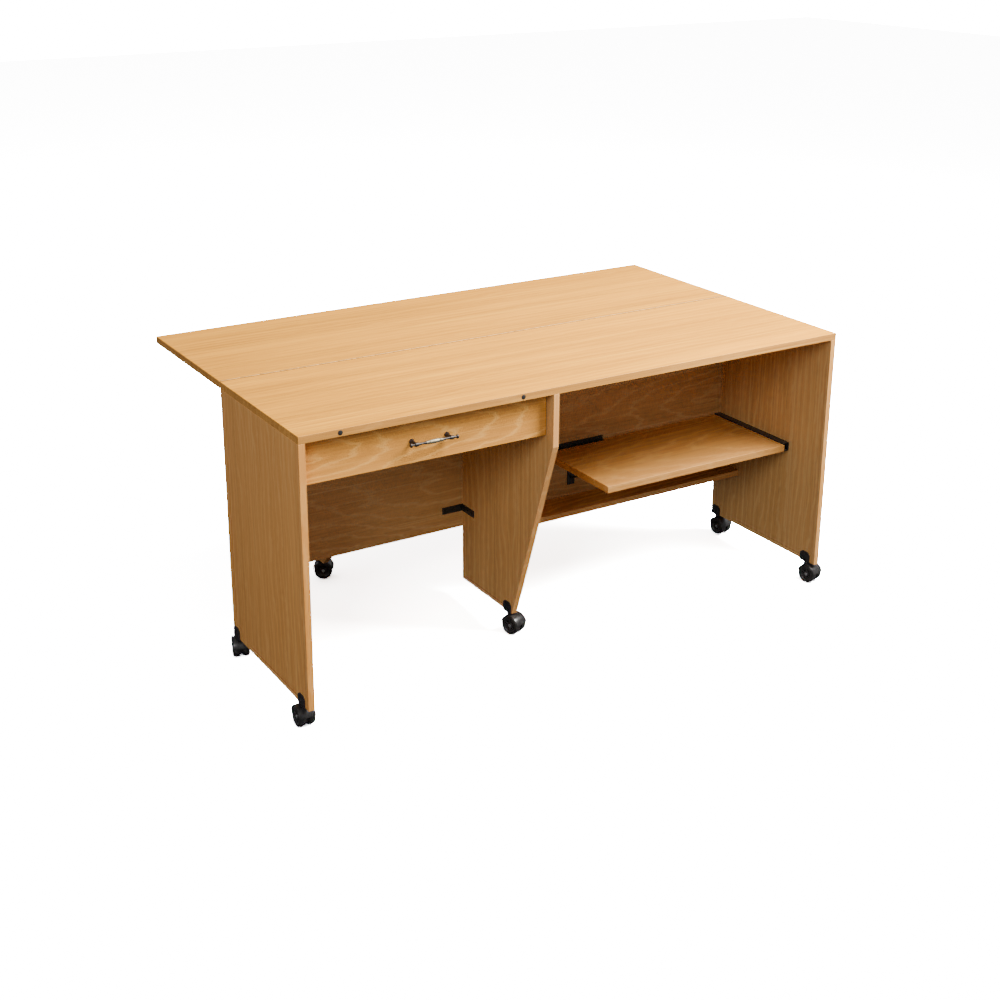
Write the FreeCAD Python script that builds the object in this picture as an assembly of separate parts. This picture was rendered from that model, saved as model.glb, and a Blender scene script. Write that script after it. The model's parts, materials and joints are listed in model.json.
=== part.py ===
import FreeCAD, Part
import os

# A mobile sewing table of laminated board. The fixed top stands on three uprights and a back
# panel, a leaf of the same size is hinged to its rear edge, and a gate leg carries the leaf.
# A drawer hangs over the knee space and a shelf for the machine is set low in the right bay.
# Millimetres. Layout axes: X along the table from its left end, Y back from its front edge,
# Z up from the floor. place() moves every piece so that the box of the whole table is centred
# on X and Y = 0, with the wheels on Z = 0.

# ---- overall sizes
TABLE_LENGTH = 1524.0
TOP_DEPTH = 438.0
TABLE_HEIGHT = 714.0
TOP_THICKNESS = 18.0
BOARD_THICKNESS = 16.0
EDGE_BREAK = 0.8

# ---- uprights, back panel and boards of the carcass
KNEE_BAY_WIDTH = 630.0
CENTRE_FOOT_Y = 175.0
CENTRE_KINK_Z = 565.0
BACK_PANEL_BOTTOM = 209.0
REAR_BOARD_DEPTH = 93.0

# ---- shelf that carries the sewing machine
SHELF_LENGTH = 588.0
SHELF_DEPTH = 298.0
SHELF_THICKNESS = 18.0
SHELF_TOP = 371.0
SHELF_END_GAP = 21.0
SHELF_RAIL_HEIGHT = 24.0
SHELF_RAIL_WALL = 1.5
SHELF_RAIL_SETBACK = 6.0
SHELF_ANGLE_LENGTH = 180.0
SHELF_ANGLE_INSET = 12.0
SHELF_ANGLE_LEG = 14.0
SHELF_SCREW_INSET = 20.0
RAIL_SCREW_INSET = 40.0
RAIL_SCREW_STAGGER = 15.0
BRACKET_INSET = 90.0
BRACKET_DROP = 95.0
BRACKET_REACH = 200.0
BRACKET_WIDTH = 22.0
BRACKET_STEEL = 3.0
STAY_SETBACK = 30.0
STAY_FOOT = 20.0
BRACKET_SCREW_OFFSET = 6.0

# ---- drawer
DRAWER_RECESS = 28.0
DRAWER_FRONT_HEIGHT = 104.0
DRAWER_GAP = 2.0
DRAWER_TOP_GAP = 3.0
DRAWER_BOX_DEPTH = 350.0
DRAWER_BOX_HEIGHT = 78.0
DRAWER_SIDE_THICKNESS = 12.0
DRAWER_BOTTOM_THICKNESS = 4.0
DRAWER_BOTTOM_LIFT = 8.0
DRAWER_GROOVE = 6.0
RUNNER_SPACE = 12.5
RUNNER_HEIGHT = 30.0
RUNNER_STEEL = 1.2
RUNNER_LIFT = 14.0
RUNNER_SETBACK = 6.0
GLIDE_LENGTH = 30.0
GLIDE_BREAK = 0.5
DRAWER_TRAVEL = 280.0

# ---- drawer handle
HANDLE_CENTRES = 90.0
HANDLE_LENGTH = 124.0
HANDLE_PROJECTION = 24.0
HANDLE_ROD_R = 3.0
HANDLE_POST_R = 3.6
HANDLE_FOOT_R = 6.5
HANDLE_FLARE = 5.0
HANDLE_COLLAR = 1.0
HANDLE_KNOB_LENGTH = 5.6
HANDLE_KNOB_BEVEL = 1.6
HANDLE_KNOB_NECK = 1.2
HANDLE_END_R = 5.0
GRIP_LENGTH = 42.0
GRIP_R = 5.0
GRIP_ROUND = 1.4

# ---- continuous hinge between the top and the leaf
SEAM_HALF_GAP = 1.5
HINGE_PLATE = 1.1
HINGE_PLATE_DROP = 15.0
HINGE_KNUCKLE_R = 2.0
HINGE_PIN_R = 0.9
HINGE_RISE = 0.3
HINGE_KNUCKLES = 30
HINGE_SCREW_PITCH = 120.0
SEAM_CHAMFER = 2.0

# ---- gate leg and its two butt hinges
GATE_LEFT_X = 364.0
GATE_REACH = 334.0
GATE_START_GAP = 4.0
GATE_TOP_GAP = 2.0
GATE_FOOT_WIDTH = 77.0
GATE_SHOULDER_Z = 300.0
GATE_PAD_R = 7.0
GATE_PAD_INSET = 42.0
GATE_PEG_R = 3.5
GATE_PEG_DEPTH = 8.0
BUTT_HEIGHT = 60.0
BUTT_KNUCKLE_R = 3.0
BUTT_PIN_R = 1.5
BUTT_PLATE = 1.5
BUTT_WIDTH = 25.0
BUTT_HEIGHTS = (365.0, 630.0)
BUTT_KNUCKLES = 5

# ---- casters
CASTER_HEIGHT = 58.0
WHEEL_R = 25.0
WHEEL_WIDTH = 16.0
WHEEL_GAP = 8.0
WHEEL_ROUND = 3.0
HUB_RECESS_R = 15.0
HUB_RECESS = 3.0
AXLE_R = 3.0
AXLE_HEAD_R = 5.0
AXLE_HEAD = 1.5
CASTER_TRAIL = 12.0
HOOD_WALL = 2.9
HOOD_CLEARANCE = 0.6
HOOD_BOSS_R = 8.0
HOOD_BOSS_TOP = 54.9
HOOD_LIP_RISE = 5.0
STEM_R = 4.0
STEM_LENGTH = 28.0
SOCKET_DEPTH = 34.0
SOCKET_R = 5.5
STEM_OVERLAP = 2.0
BRACKET_PLATE = 2.5
TAB_WIDTH = 36.0
TAB_HEIGHT = 28.0
TAB_CORNER = 3.0
FRONT_STEM_INSET = 36.0
REAR_STEM_INSET = 22.0
CENTRE_STEM_INSET = 20.0
GATE_STEM_INSET = 34.0

# ---- small hardware
PLUG_R = 6.0
PLUG_DEPTH = 8.0
PLUG_PROUD = 0.6
PLUG_SPACING = 464.0
BRACE_LEG = 61.0
BRACE_HEIGHT = 18.0
BRACE_STEEL = 3.0
BRACE_Z = 255.0
DOWEL_R = 4.0
DOWEL_BITE = 10.0
DOWEL_REACH = 20.0
CAM_R = 7.5
CAM_DEPTH = 12.0
CAM_CENTRE_DROP = 34.0
CAM_BOLT_R = 3.0
CAM_BOLT_BITE = 11.0
CAM_COVER = 1.2
CAM_COVER_R = 8.5
SCREW_R = 1.6
SCREW_HEAD_R = 3.4
FLUSH_HEAD_R = 2.8
SCREW_HEAD = 1.6
SCREW_BITE = 11.0
THIN_SCREW_BITE = 9.0

# ---- clearances
RUNNING_GAP = 0.3
PIN_CLEARANCE = 0.05
FIT_GAP = 0.05
CUT_OVER = 1.0

# ---- places worked out from the sizes above
TOP_UNDERSIDE = TABLE_HEIGHT - TOP_THICKNESS
BACK_FRONT_Y = TOP_DEPTH - BOARD_THICKNESS
LEFT_INNER_X = BOARD_THICKNESS
CENTRE_LEFT_X = LEFT_INNER_X + KNEE_BAY_WIDTH
CENTRE_RIGHT_X = CENTRE_LEFT_X + BOARD_THICKNESS
RIGHT_INNER_X = TABLE_LENGTH - BOARD_THICKNESS
SHELF_RIGHT_X = RIGHT_INNER_X - SHELF_END_GAP
SHELF_LEFT_X = SHELF_RIGHT_X - SHELF_LENGTH
SHELF_FRONT_Y = BACK_FRONT_Y - SHELF_DEPTH
SHELF_UNDERSIDE = SHELF_TOP - SHELF_THICKNESS
DRAWER_FRONT_TOP = TOP_UNDERSIDE - DRAWER_TOP_GAP
DRAWER_FRONT_BOTTOM = DRAWER_FRONT_TOP - DRAWER_FRONT_HEIGHT
DRAWER_BACK_OF_FRONT = DRAWER_RECESS + BOARD_THICKNESS
DRAWER_LEFT_X = LEFT_INNER_X + RUNNER_SPACE
DRAWER_RIGHT_X = CENTRE_LEFT_X - RUNNER_SPACE
DRAWER_BOX_BOTTOM = DRAWER_FRONT_BOTTOM + (DRAWER_FRONT_HEIGHT - DRAWER_BOX_HEIGHT) / 2.0
DRAWER_MIDDLE_X = (LEFT_INNER_X + CENTRE_LEFT_X) / 2.0
DRAWER_MIDDLE_Z = DRAWER_FRONT_BOTTOM + DRAWER_FRONT_HEIGHT / 2.0
RUNNER_BOTTOM = DRAWER_BOX_BOTTOM + RUNNER_LIFT
SEAM_Z = TABLE_HEIGHT + HINGE_RISE
GATE_RIGHT_X = GATE_LEFT_X + BOARD_THICKNESS
GATE_START_Y = TOP_DEPTH + GATE_START_GAP
GATE_END_Y = TOP_DEPTH + GATE_REACH
GATE_TOP = TOP_UNDERSIDE - GATE_TOP_GAP
GATE_PIVOT_X = GATE_RIGHT_X + BUTT_KNUCKLE_R + RUNNING_GAP
GATE_PIVOT_Y = TOP_DEPTH + BUTT_KNUCKLE_R + RUNNING_GAP
GATE_STEM_Y = GATE_END_Y - GATE_STEM_INSET
BRACKET_UNDERSIDE = CASTER_HEIGHT - BRACKET_PLATE
HALF_BOARD = BOARD_THICKNESS / 2.0

# name: (stem X, stem Y, swivel angle at rest in degrees from "wheels behind the stem")
CASTERS = {
    "front_left": (HALF_BOARD, FRONT_STEM_INSET, 0.0),
    "rear_left": (HALF_BOARD, TOP_DEPTH - REAR_STEM_INSET, -15.0),
    "centre": (CENTRE_LEFT_X + HALF_BOARD, CENTRE_FOOT_Y + CENTRE_STEM_INSET, 200.0),
    "front_right": (RIGHT_INNER_X + HALF_BOARD, FRONT_STEM_INSET, 192.0),
    "rear_right": (RIGHT_INNER_X + HALF_BOARD, TOP_DEPTH - REAR_STEM_INSET, 188.0),
    "gate": (GATE_LEFT_X + HALF_BOARD, GATE_STEM_Y, 240.0),
}
CASTER_BOARDS = {
    "front_left": "left_panel",
    "rear_left": "left_panel",
    "centre": "centre_panel",
    "front_right": "right_panel",
    "rear_right": "right_panel",
    "gate": "gate_leg",
}

X_AXIS = FreeCAD.Vector(1, 0, 0)
Y_AXIS = FreeCAD.Vector(0, 1, 0)
Z_AXIS = FreeCAD.Vector(0, 0, 1)

solids = {}
tools = {}


def vec(x, y, z):
    return FreeCAD.Vector(x, y, z)


def add(node, *shapes):
    """Put one or more solids into a node."""
    solids.setdefault(node, []).extend(shapes)


def bore(node, *shapes):
    """Note material that is taken out of a node once all the pieces are in place."""
    tools.setdefault(node, []).extend(shapes)


def block(x0, x1, y0, y1, z0, z1):
    """Box between two corners."""
    return Part.makeBox(x1 - x0, y1 - y0, z1 - z0, vec(x0, y0, z0))


def broken(shape, size=EDGE_BREAK):
    """The same solid with every edge rounded a little."""
    return shape.makeFillet(size, shape.Edges)


def board(x0, x1, y0, y1, z0, z1):
    return broken(block(x0, x1, y0, y1, z0, z1))


def rod(radius, start, direction, length):
    return Part.makeCylinder(radius, length, start, direction)


def prism_along_x(points_yz, x0, x1):
    """Outline in the YZ plane, drawn out along X."""
    corners = [vec(x0, y, z) for y, z in points_yz]
    face = Part.Face(Part.makePolygon(corners + corners[:1]))
    return face.extrude(vec(x1 - x0, 0, 0))


def prism_along_z(points_xy, z0, z1):
    """Outline in the XY plane, drawn out along Z."""
    corners = [vec(x, y, z0) for x, y in points_xy]
    face = Part.Face(Part.makePolygon(corners + corners[:1]))
    return face.extrude(vec(0, 0, z1 - z0))


def joined(shapes):
    """Several touching shapes as one solid."""
    return shapes[0].fuse(shapes[1:]).removeSplitter()


def screw(node, plate, target, seat, direction, grip, flush=False, bite=SCREW_BITE):
    """Screw whose head sits on a plate at seat, driven through it into the target board."""
    length = grip + bite
    shank = rod(SCREW_R, seat, direction, length)
    if flush:
        head = Part.makeCone(FLUSH_HEAD_R, SCREW_R, grip, seat, direction)
        bore(plate, Part.makeCone(FLUSH_HEAD_R, SCREW_R, grip, seat, direction))
    else:
        head = rod(SCREW_HEAD_R, seat - direction * SCREW_HEAD, direction, SCREW_HEAD)
    add(node, joined([shank, head]))
    hole = rod(SCREW_R + FIT_GAP, seat - direction * FIT_GAP, direction, length + 2 * FIT_GAP)
    bore(plate, hole)
    bore(target, hole)


def dowel(node, first, second, seam, direction, bite=DOWEL_BITE):
    """Wooden pin across a joint: bite of it in the first board, the rest in the second."""
    start = seam - direction * bite
    length = bite + DOWEL_REACH
    add(node, rod(DOWEL_R, start, direction, length))
    hole = rod(DOWEL_R + FIT_GAP, start - direction * FIT_GAP, direction, length + 2 * FIT_GAP)
    bore(first, hole)
    bore(second, hole)


# ---- top and leaf

def make_tabletop():
    """Fixed top. Its rear upper edge is chamfered to clear the hinge knuckles."""
    rear = TOP_DEPTH - SEAM_HALF_GAP
    slab = board(0, TABLE_LENGTH, 0, rear, TOP_UNDERSIDE, TABLE_HEIGHT)
    add("tabletop", slab.cut(seam_chamfer(rear, -1)))


def make_leaf():
    """Leaf as deep as the fixed top, so that it covers the top exactly when it is turned over."""
    front = TOP_DEPTH + SEAM_HALF_GAP
    slab = board(0, TABLE_LENGTH, front, 2 * TOP_DEPTH, TOP_UNDERSIDE, TABLE_HEIGHT)
    add("leaf", slab.cut(seam_chamfer(front, 1)))


def seam_chamfer(edge_y, side):
    """Wedge removed from the upper seam edge; side is -1 for the top and 1 for the leaf."""
    run = SEAM_CHAMFER + CUT_OVER
    points = [
        (edge_y - side * CUT_OVER, TABLE_HEIGHT - run),
        (edge_y + side * run, TABLE_HEIGHT + CUT_OVER),
        (edge_y - side * CUT_OVER, TABLE_HEIGHT + CUT_OVER),
    ]
    return prism_along_x(points, -CUT_OVER, TABLE_LENGTH + CUT_OVER)


def knuckle_spans(count, start, end):
    """Equal spans of a hinge, each short of its share by half the running gap at both ends."""
    pitch = (end - start) / count
    half = RUNNING_GAP / 2.0
    return [(start + i * pitch + half, start + (i + 1) * pitch - half) for i in range(count)]


def seam_axis(x):
    return vec(x, TOP_DEPTH, SEAM_Z)


def make_seam_hinge():
    """Continuous hinge: two plates upright in the seam, knuckles by turns, one long pin."""
    spans = knuckle_spans(HINGE_KNUCKLES, EDGE_BREAK, TABLE_LENGTH - EDGE_BREAK)
    make_seam_plate("seam_hinge_plate_fixed", "tabletop", -1, spans[0::2], spans[1::2])
    make_seam_plate("seam_hinge_plate_leaf", "leaf", 1, spans[1::2], spans[0::2])
    start = spans[0][0]
    length = spans[-1][1] - start
    add("seam_hinge_pin", rod(HINGE_PIN_R, seam_axis(start), X_AXIS, length))


def make_seam_plate(node, target, side, own, other):
    outer = TOP_DEPTH + side * SEAM_HALF_GAP
    inner = outer - side * HINGE_PLATE
    low = SEAM_Z - HINGE_PLATE_DROP
    x0 = own[0][0]
    x1 = own[-1][1]
    plate = block(min(x0, other[0][0]), max(x1, other[-1][1]), min(outer, inner),
                  max(outer, inner), low, SEAM_Z)
    knuckles = [rod(HINGE_KNUCKLE_R, seam_axis(a), X_AXIS, b - a) for a, b in own]
    solid = joined([plate] + knuckles)
    clear = HINGE_KNUCKLE_R + RUNNING_GAP
    notches = []
    for a, b in other:
        notch_start = a - RUNNING_GAP
        notches.append(rod(clear, seam_axis(notch_start), X_AXIS, b - a + 2 * RUNNING_GAP))
    whole = TABLE_LENGTH + 2 * CUT_OVER
    notches.append(rod(HINGE_PIN_R + PIN_CLEARANCE, seam_axis(-CUT_OVER), X_AXIS, whole))
    add(node, solid.cut(notches))
    count = int(TABLE_LENGTH // HINGE_SCREW_PITCH)
    first = (TABLE_LENGTH - (count - 1) * HINGE_SCREW_PITCH) / 2.0
    screws = "flush_screws" if side < 0 else "leaf_screws"
    for i in range(count):
        seat = vec(first + i * HINGE_SCREW_PITCH, inner, TOP_UNDERSIDE + TOP_THICKNESS * 0.4)
        screw(screws, node, target, seat, vec(0, side, 0), HINGE_PLATE, flush=True)


# ---- uprights, back panel and lower board

def make_uprights():
    """Left and right panels are plain; the centre panel slants back from knee height."""
    add("left_panel", board(0, LEFT_INNER_X, 0, TOP_DEPTH, CASTER_HEIGHT, TOP_UNDERSIDE))
    add("right_panel", board(RIGHT_INNER_X, TABLE_LENGTH, 0, TOP_DEPTH,
                             CASTER_HEIGHT, TOP_UNDERSIDE))
    outline = [
        (0, TOP_UNDERSIDE),
        (0, CENTRE_KINK_Z),
        (CENTRE_FOOT_Y, CASTER_HEIGHT),
        (BACK_FRONT_Y, CASTER_HEIGHT),
        (BACK_FRONT_Y, TOP_UNDERSIDE),
    ]
    add("centre_panel", broken(prism_along_x(outline, CENTRE_LEFT_X, CENTRE_RIGHT_X)))


def make_back_panel():
    add("back_panel", board(LEFT_INNER_X, RIGHT_INNER_X, BACK_FRONT_Y, TOP_DEPTH,
                            BACK_PANEL_BOTTOM, TOP_UNDERSIDE))


def make_rear_board():
    """Narrow board along the foot of the back panel in the right bay."""
    add("rear_board", board(CENTRE_RIGHT_X, RIGHT_INNER_X, BACK_FRONT_Y - REAR_BOARD_DEPTH,
                            BACK_FRONT_Y, BACK_PANEL_BOTTOM, BACK_PANEL_BOTTOM + BOARD_THICKNESS))


def make_dowels():
    """Dowels hold the boards in line: uprights to top, back panel and rear board to uprights."""
    for name, middle in (("left_panel", HALF_BOARD), ("centre_panel", CENTRE_LEFT_X + HALF_BOARD),
                         ("right_panel", RIGHT_INNER_X + HALF_BOARD)):
        for y in (TOP_DEPTH * 0.2, TOP_DEPTH * 0.5, TOP_DEPTH * 0.8):
            dowel("dowels", "tabletop", name, vec(middle, y, TOP_UNDERSIDE), -Z_AXIS)
    back_y = BACK_FRONT_Y + HALF_BOARD
    rear_board_z = BACK_PANEL_BOTTOM + HALF_BOARD
    rear_board_y = BACK_FRONT_Y - REAR_BOARD_DEPTH / 2.0
    for share in (0.15, 0.5, 0.85):
        z = BACK_PANEL_BOTTOM + share * (TOP_UNDERSIDE - BACK_PANEL_BOTTOM)
        dowel("dowels", "left_panel", "back_panel", vec(LEFT_INNER_X, back_y, z), X_AXIS)
        dowel("dowels", "right_panel", "back_panel", vec(RIGHT_INNER_X, back_y, z), -X_AXIS)
        dowel("dowels", "back_panel", "centre_panel",
              vec(CENTRE_LEFT_X + HALF_BOARD, BACK_FRONT_Y, z), -Y_AXIS)
    for offset in (-REAR_BOARD_DEPTH / 4.0, REAR_BOARD_DEPTH / 4.0):
        y = rear_board_y + offset
        dowel("dowels", "centre_panel", "rear_board", vec(CENTRE_RIGHT_X, y, rear_board_z), X_AXIS)
        dowel("dowels", "right_panel", "rear_board", vec(RIGHT_INNER_X, y, rear_board_z), -X_AXIS)


def make_cams():
    """Cam locks let into the uprights draw bolts down from the top; caps hide the cams."""
    faces = (("left_panel", LEFT_INNER_X, -1), ("centre_panel", CENTRE_RIGHT_X, -1),
             ("right_panel", RIGHT_INNER_X, 1))
    for name, face, inward in faces:
        middle = face + inward * HALF_BOARD
        for y in (TOP_DEPTH * 0.3, TOP_DEPTH * 0.7):
            cam_z = TOP_UNDERSIDE - CAM_CENTRE_DROP
            into = vec(inward, 0, 0)
            seat = vec(face, y, cam_z)
            pocket = rod(CAM_R + FIT_GAP, seat - into * CUT_OVER, into,
                         CUT_OVER + CAM_DEPTH + FIT_GAP)
            bore(name, pocket)
            bolt_end = cam_z + CAM_R
            bolt = rod(CAM_BOLT_R, vec(middle, y, bolt_end), Z_AXIS,
                       TOP_UNDERSIDE + CAM_BOLT_BITE - bolt_end)
            hole = rod(CAM_BOLT_R + FIT_GAP, vec(middle, y, cam_z), Z_AXIS,
                       TOP_UNDERSIDE + CAM_BOLT_BITE + FIT_GAP - cam_z)
            add("cam_fittings", rod(CAM_R, seat, into, CAM_DEPTH))
            add("cam_fittings", bolt)
            add("cam_caps", broken(rod(CAM_COVER_R, seat, -into, CAM_COVER), CAM_COVER / 3.0))
            bore(name, hole)
            bore("tabletop", hole)


def make_edge_plugs():
    """Two black plugs pressed into the front edge of the top, either side of the drawer."""
    z = TOP_UNDERSIDE + TOP_THICKNESS / 2.0
    for x in (DRAWER_MIDDLE_X - PLUG_SPACING / 2.0, DRAWER_MIDDLE_X + PLUG_SPACING / 2.0):
        stem = rod(PLUG_R - FIT_GAP, vec(x, -PLUG_PROUD, z), Y_AXIS, PLUG_DEPTH)
        add("edge_plugs", stem)
        bore("tabletop", rod(PLUG_R, vec(x, -CUT_OVER, z), Y_AXIS,
                             CUT_OVER + PLUG_DEPTH - PLUG_PROUD))


def make_braces():
    """Steel angles in the two rear corners of the knee space, screwed to both boards."""
    make_brace("left_panel", LEFT_INNER_X, 1)
    make_brace("centre_panel", CENTRE_LEFT_X, -1)


def make_brace(side_board, face_x, side):
    """L-shaped angle: one leg on an upright, the other on the front of the back panel."""
    outline = [
        (face_x, BACK_FRONT_Y),
        (face_x, BACK_FRONT_Y - BRACE_LEG),
        (face_x + side * BRACE_STEEL, BACK_FRONT_Y - BRACE_LEG),
        (face_x + side * BRACE_STEEL, BACK_FRONT_Y - BRACE_STEEL),
        (face_x + side * BRACE_LEG, BACK_FRONT_Y - BRACE_STEEL),
        (face_x + side * BRACE_LEG, BACK_FRONT_Y),
    ]
    add("corner_braces", prism_along_z(outline, BRACE_Z, BRACE_Z + BRACE_HEIGHT))
    z = BRACE_Z + BRACE_HEIGHT / 2.0
    for share in (0.45, 0.82):
        reach = BRACE_LEG * share
        on_upright = vec(face_x + side * BRACE_STEEL, BACK_FRONT_Y - reach, z)
        screw("pan_screws", "corner_braces", side_board, on_upright, vec(-side, 0, 0), BRACE_STEEL)
        on_back = vec(face_x + side * reach, BACK_FRONT_Y - BRACE_STEEL, z)
        screw("pan_screws", "corner_braces", "back_panel", on_back, Y_AXIS, BRACE_STEEL)


# ---- machine shelf

def make_shelf():
    add("machine_shelf", board(SHELF_LEFT_X, SHELF_RIGHT_X, SHELF_FRONT_Y, BACK_FRONT_Y,
                               SHELF_UNDERSIDE, SHELF_TOP))


def make_shelf_rail():
    """Square steel tube in the gap between the shelf's right end and the right panel."""
    z0 = SHELF_TOP - SHELF_THICKNESS / 2.0 - SHELF_RAIL_HEIGHT / 2.0
    y0 = SHELF_FRONT_Y + SHELF_RAIL_SETBACK
    outer = broken(block(SHELF_RIGHT_X, RIGHT_INNER_X, y0, BACK_FRONT_Y, z0, z0 + SHELF_RAIL_HEIGHT))
    wall = SHELF_RAIL_WALL
    inner = block(SHELF_RIGHT_X + wall, RIGHT_INNER_X - wall, y0 - CUT_OVER,
                  BACK_FRONT_Y + CUT_OVER, z0 + wall, z0 + SHELF_RAIL_HEIGHT - wall)
    add("shelf_rail", outer.cut(inner))
    z = z0 + SHELF_RAIL_HEIGHT / 2.0
    last = BACK_FRONT_Y - RAIL_SCREW_INSET
    for y in (y0 + RAIL_SCREW_INSET, (y0 + BACK_FRONT_Y) / 2.0, last):
        to_wall = vec(RIGHT_INNER_X - wall, y, z)
        to_shelf = vec(SHELF_RIGHT_X + wall, y + RAIL_SCREW_STAGGER, z)
        screw("pan_screws", "shelf_rail", "right_panel", to_wall, X_AXIS, wall)
        screw("pan_screws", "shelf_rail", "machine_shelf", to_shelf, -X_AXIS, wall)


def make_shelf_angle():
    """Black angle let flush into the shelf's rear edge, its other leg up the back panel."""
    x0 = SHELF_LEFT_X + SHELF_ANGLE_INSET
    x1 = x0 + SHELF_ANGLE_LENGTH
    front = BACK_FRONT_Y - SHELF_ANGLE_LEG
    low = SHELF_TOP - BRACE_STEEL
    outline = [
        (BACK_FRONT_Y, low),
        (BACK_FRONT_Y, low + SHELF_ANGLE_LEG),
        (BACK_FRONT_Y - BRACE_STEEL, low + SHELF_ANGLE_LEG),
        (BACK_FRONT_Y - BRACE_STEEL, SHELF_TOP),
        (front, SHELF_TOP),
        (front, low),
    ]
    add("shelf_angle", prism_along_x(outline, x0, x1))
    bore("machine_shelf", block(x0 - FIT_GAP, x1 + FIT_GAP, front - FIT_GAP,
                                BACK_FRONT_Y + CUT_OVER, low, SHELF_TOP + CUT_OVER))
    along = (BRACE_STEEL + SHELF_ANGLE_LEG) / 2.0
    for x in (x0 + SHELF_SCREW_INSET, (x0 + x1) / 2.0, x1 - SHELF_SCREW_INSET):
        on_shelf = vec(x, BACK_FRONT_Y - along, SHELF_TOP)
        screw("pan_screws", "shelf_angle", "machine_shelf", on_shelf, -Z_AXIS, BRACE_STEEL)
    for x in (x0 + 2 * SHELF_SCREW_INSET, x1 - 2 * SHELF_SCREW_INSET):
        on_back = vec(x, BACK_FRONT_Y - BRACE_STEEL, low + along)
        screw("pan_screws", "shelf_angle", "back_panel", on_back, Y_AXIS, BRACE_STEEL)


def make_shelf_brackets():
    """Two steel brackets under the shelf, each an upright leg, an arm and a stay."""
    for x in (SHELF_LEFT_X + BRACKET_INSET, SHELF_RIGHT_X - BRACKET_INSET):
        make_shelf_bracket(x)


def make_shelf_bracket(x):
    half = BRACKET_WIDTH / 2.0
    top = SHELF_UNDERSIDE
    low = top - BRACKET_DROP
    front = BACK_FRONT_Y - BRACKET_REACH
    steel = BRACKET_STEEL
    leg = block(x - half, x + half, BACK_FRONT_Y - steel, BACK_FRONT_Y, low, top)
    arm = block(x - half, x + half, front, BACK_FRONT_Y, top - steel, top)
    stay_top = front + STAY_SETBACK
    stay_low = low + STAY_FOOT
    stay = prism_along_x([
        (stay_top, top - steel),
        (stay_top + 2 * steel, top - steel),
        (BACK_FRONT_Y - steel, stay_low + steel),
        (BACK_FRONT_Y - steel, stay_low - steel),
    ], x - steel / 2.0, x + steel / 2.0)
    add("shelf_brackets", joined([leg, arm, stay]))
    for z in (low + STAY_FOOT / 2.0, top - STAY_FOOT):
        seat = vec(x + BRACKET_SCREW_OFFSET, BACK_FRONT_Y - steel, z)
        screw("pan_screws", "shelf_brackets", "back_panel", seat, Y_AXIS, steel)
    for y in (front + STAY_SETBACK / 2.0, BACK_FRONT_Y - 2 * STAY_FOOT):
        seat = vec(x + BRACKET_SCREW_OFFSET, y, top - steel)
        screw("pan_screws", "shelf_brackets", "machine_shelf", seat, Z_AXIS, steel)


# ---- drawer

def make_drawer_box():
    """Front, two sides and a back, with the bottom let into grooves of all four."""
    front_x0 = LEFT_INNER_X + DRAWER_GAP
    front_x1 = CENTRE_LEFT_X - DRAWER_GAP
    y0 = DRAWER_BACK_OF_FRONT
    y1 = y0 + DRAWER_BOX_DEPTH
    z0 = DRAWER_BOX_BOTTOM
    z1 = z0 + DRAWER_BOX_HEIGHT
    side = DRAWER_SIDE_THICKNESS
    add("drawer_front", board(front_x0, front_x1, DRAWER_RECESS, y0,
                              DRAWER_FRONT_BOTTOM, DRAWER_FRONT_TOP))
    add("drawer_side_left", board(DRAWER_LEFT_X, DRAWER_LEFT_X + side, y0, y1, z0, z1))
    add("drawer_side_right", board(DRAWER_RIGHT_X - side, DRAWER_RIGHT_X, y0, y1, z0, z1))
    add("drawer_back", board(DRAWER_LEFT_X + side, DRAWER_RIGHT_X - side, y1 - side, y1, z0, z1))
    sunk = DRAWER_GROOVE
    bottom_z = z0 + DRAWER_BOTTOM_LIFT
    bottom = block(DRAWER_LEFT_X + side - sunk, DRAWER_RIGHT_X - side + sunk, y0 - sunk,
                   y1 - side + sunk, bottom_z, bottom_z + DRAWER_BOTTOM_THICKNESS)
    add("drawer_bottom", bottom)
    groove = block(DRAWER_LEFT_X + side - sunk - FIT_GAP, DRAWER_RIGHT_X - side + sunk + FIT_GAP,
                   y0 - sunk - FIT_GAP, y1 - side + sunk + FIT_GAP,
                   bottom_z - FIT_GAP, bottom_z + DRAWER_BOTTOM_THICKNESS + FIT_GAP)
    for name in ("drawer_front", "drawer_side_left", "drawer_side_right", "drawer_back"):
        bore(name, groove)
    make_drawer_dowels(y0, y1, z0)


def make_drawer_dowels(y0, y1, z0):
    side = DRAWER_SIDE_THICKNESS
    for share in (0.4, 0.8):
        z = z0 + DRAWER_BOX_HEIGHT * share
        for name, x, inward in (("drawer_side_left", DRAWER_LEFT_X + side / 2.0, 1),
                                ("drawer_side_right", DRAWER_RIGHT_X - side / 2.0, -1)):
            dowel("drawer_dowels", "drawer_front", name, vec(x, y0, z), Y_AXIS)
            corner = vec(x + inward * side / 2.0, y1 - side / 2.0, z)
            dowel("drawer_dowels", name, "drawer_back", corner, vec(inward, 0, 0), side * 0.6)


def make_runners():
    """Steel channels on the uprights, and strips with nylon glides on the drawer sides."""
    make_runner("left_panel", "drawer_side_left", LEFT_INNER_X, 1)
    make_runner("centre_panel", "drawer_side_right", CENTRE_LEFT_X, -1)


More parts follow.
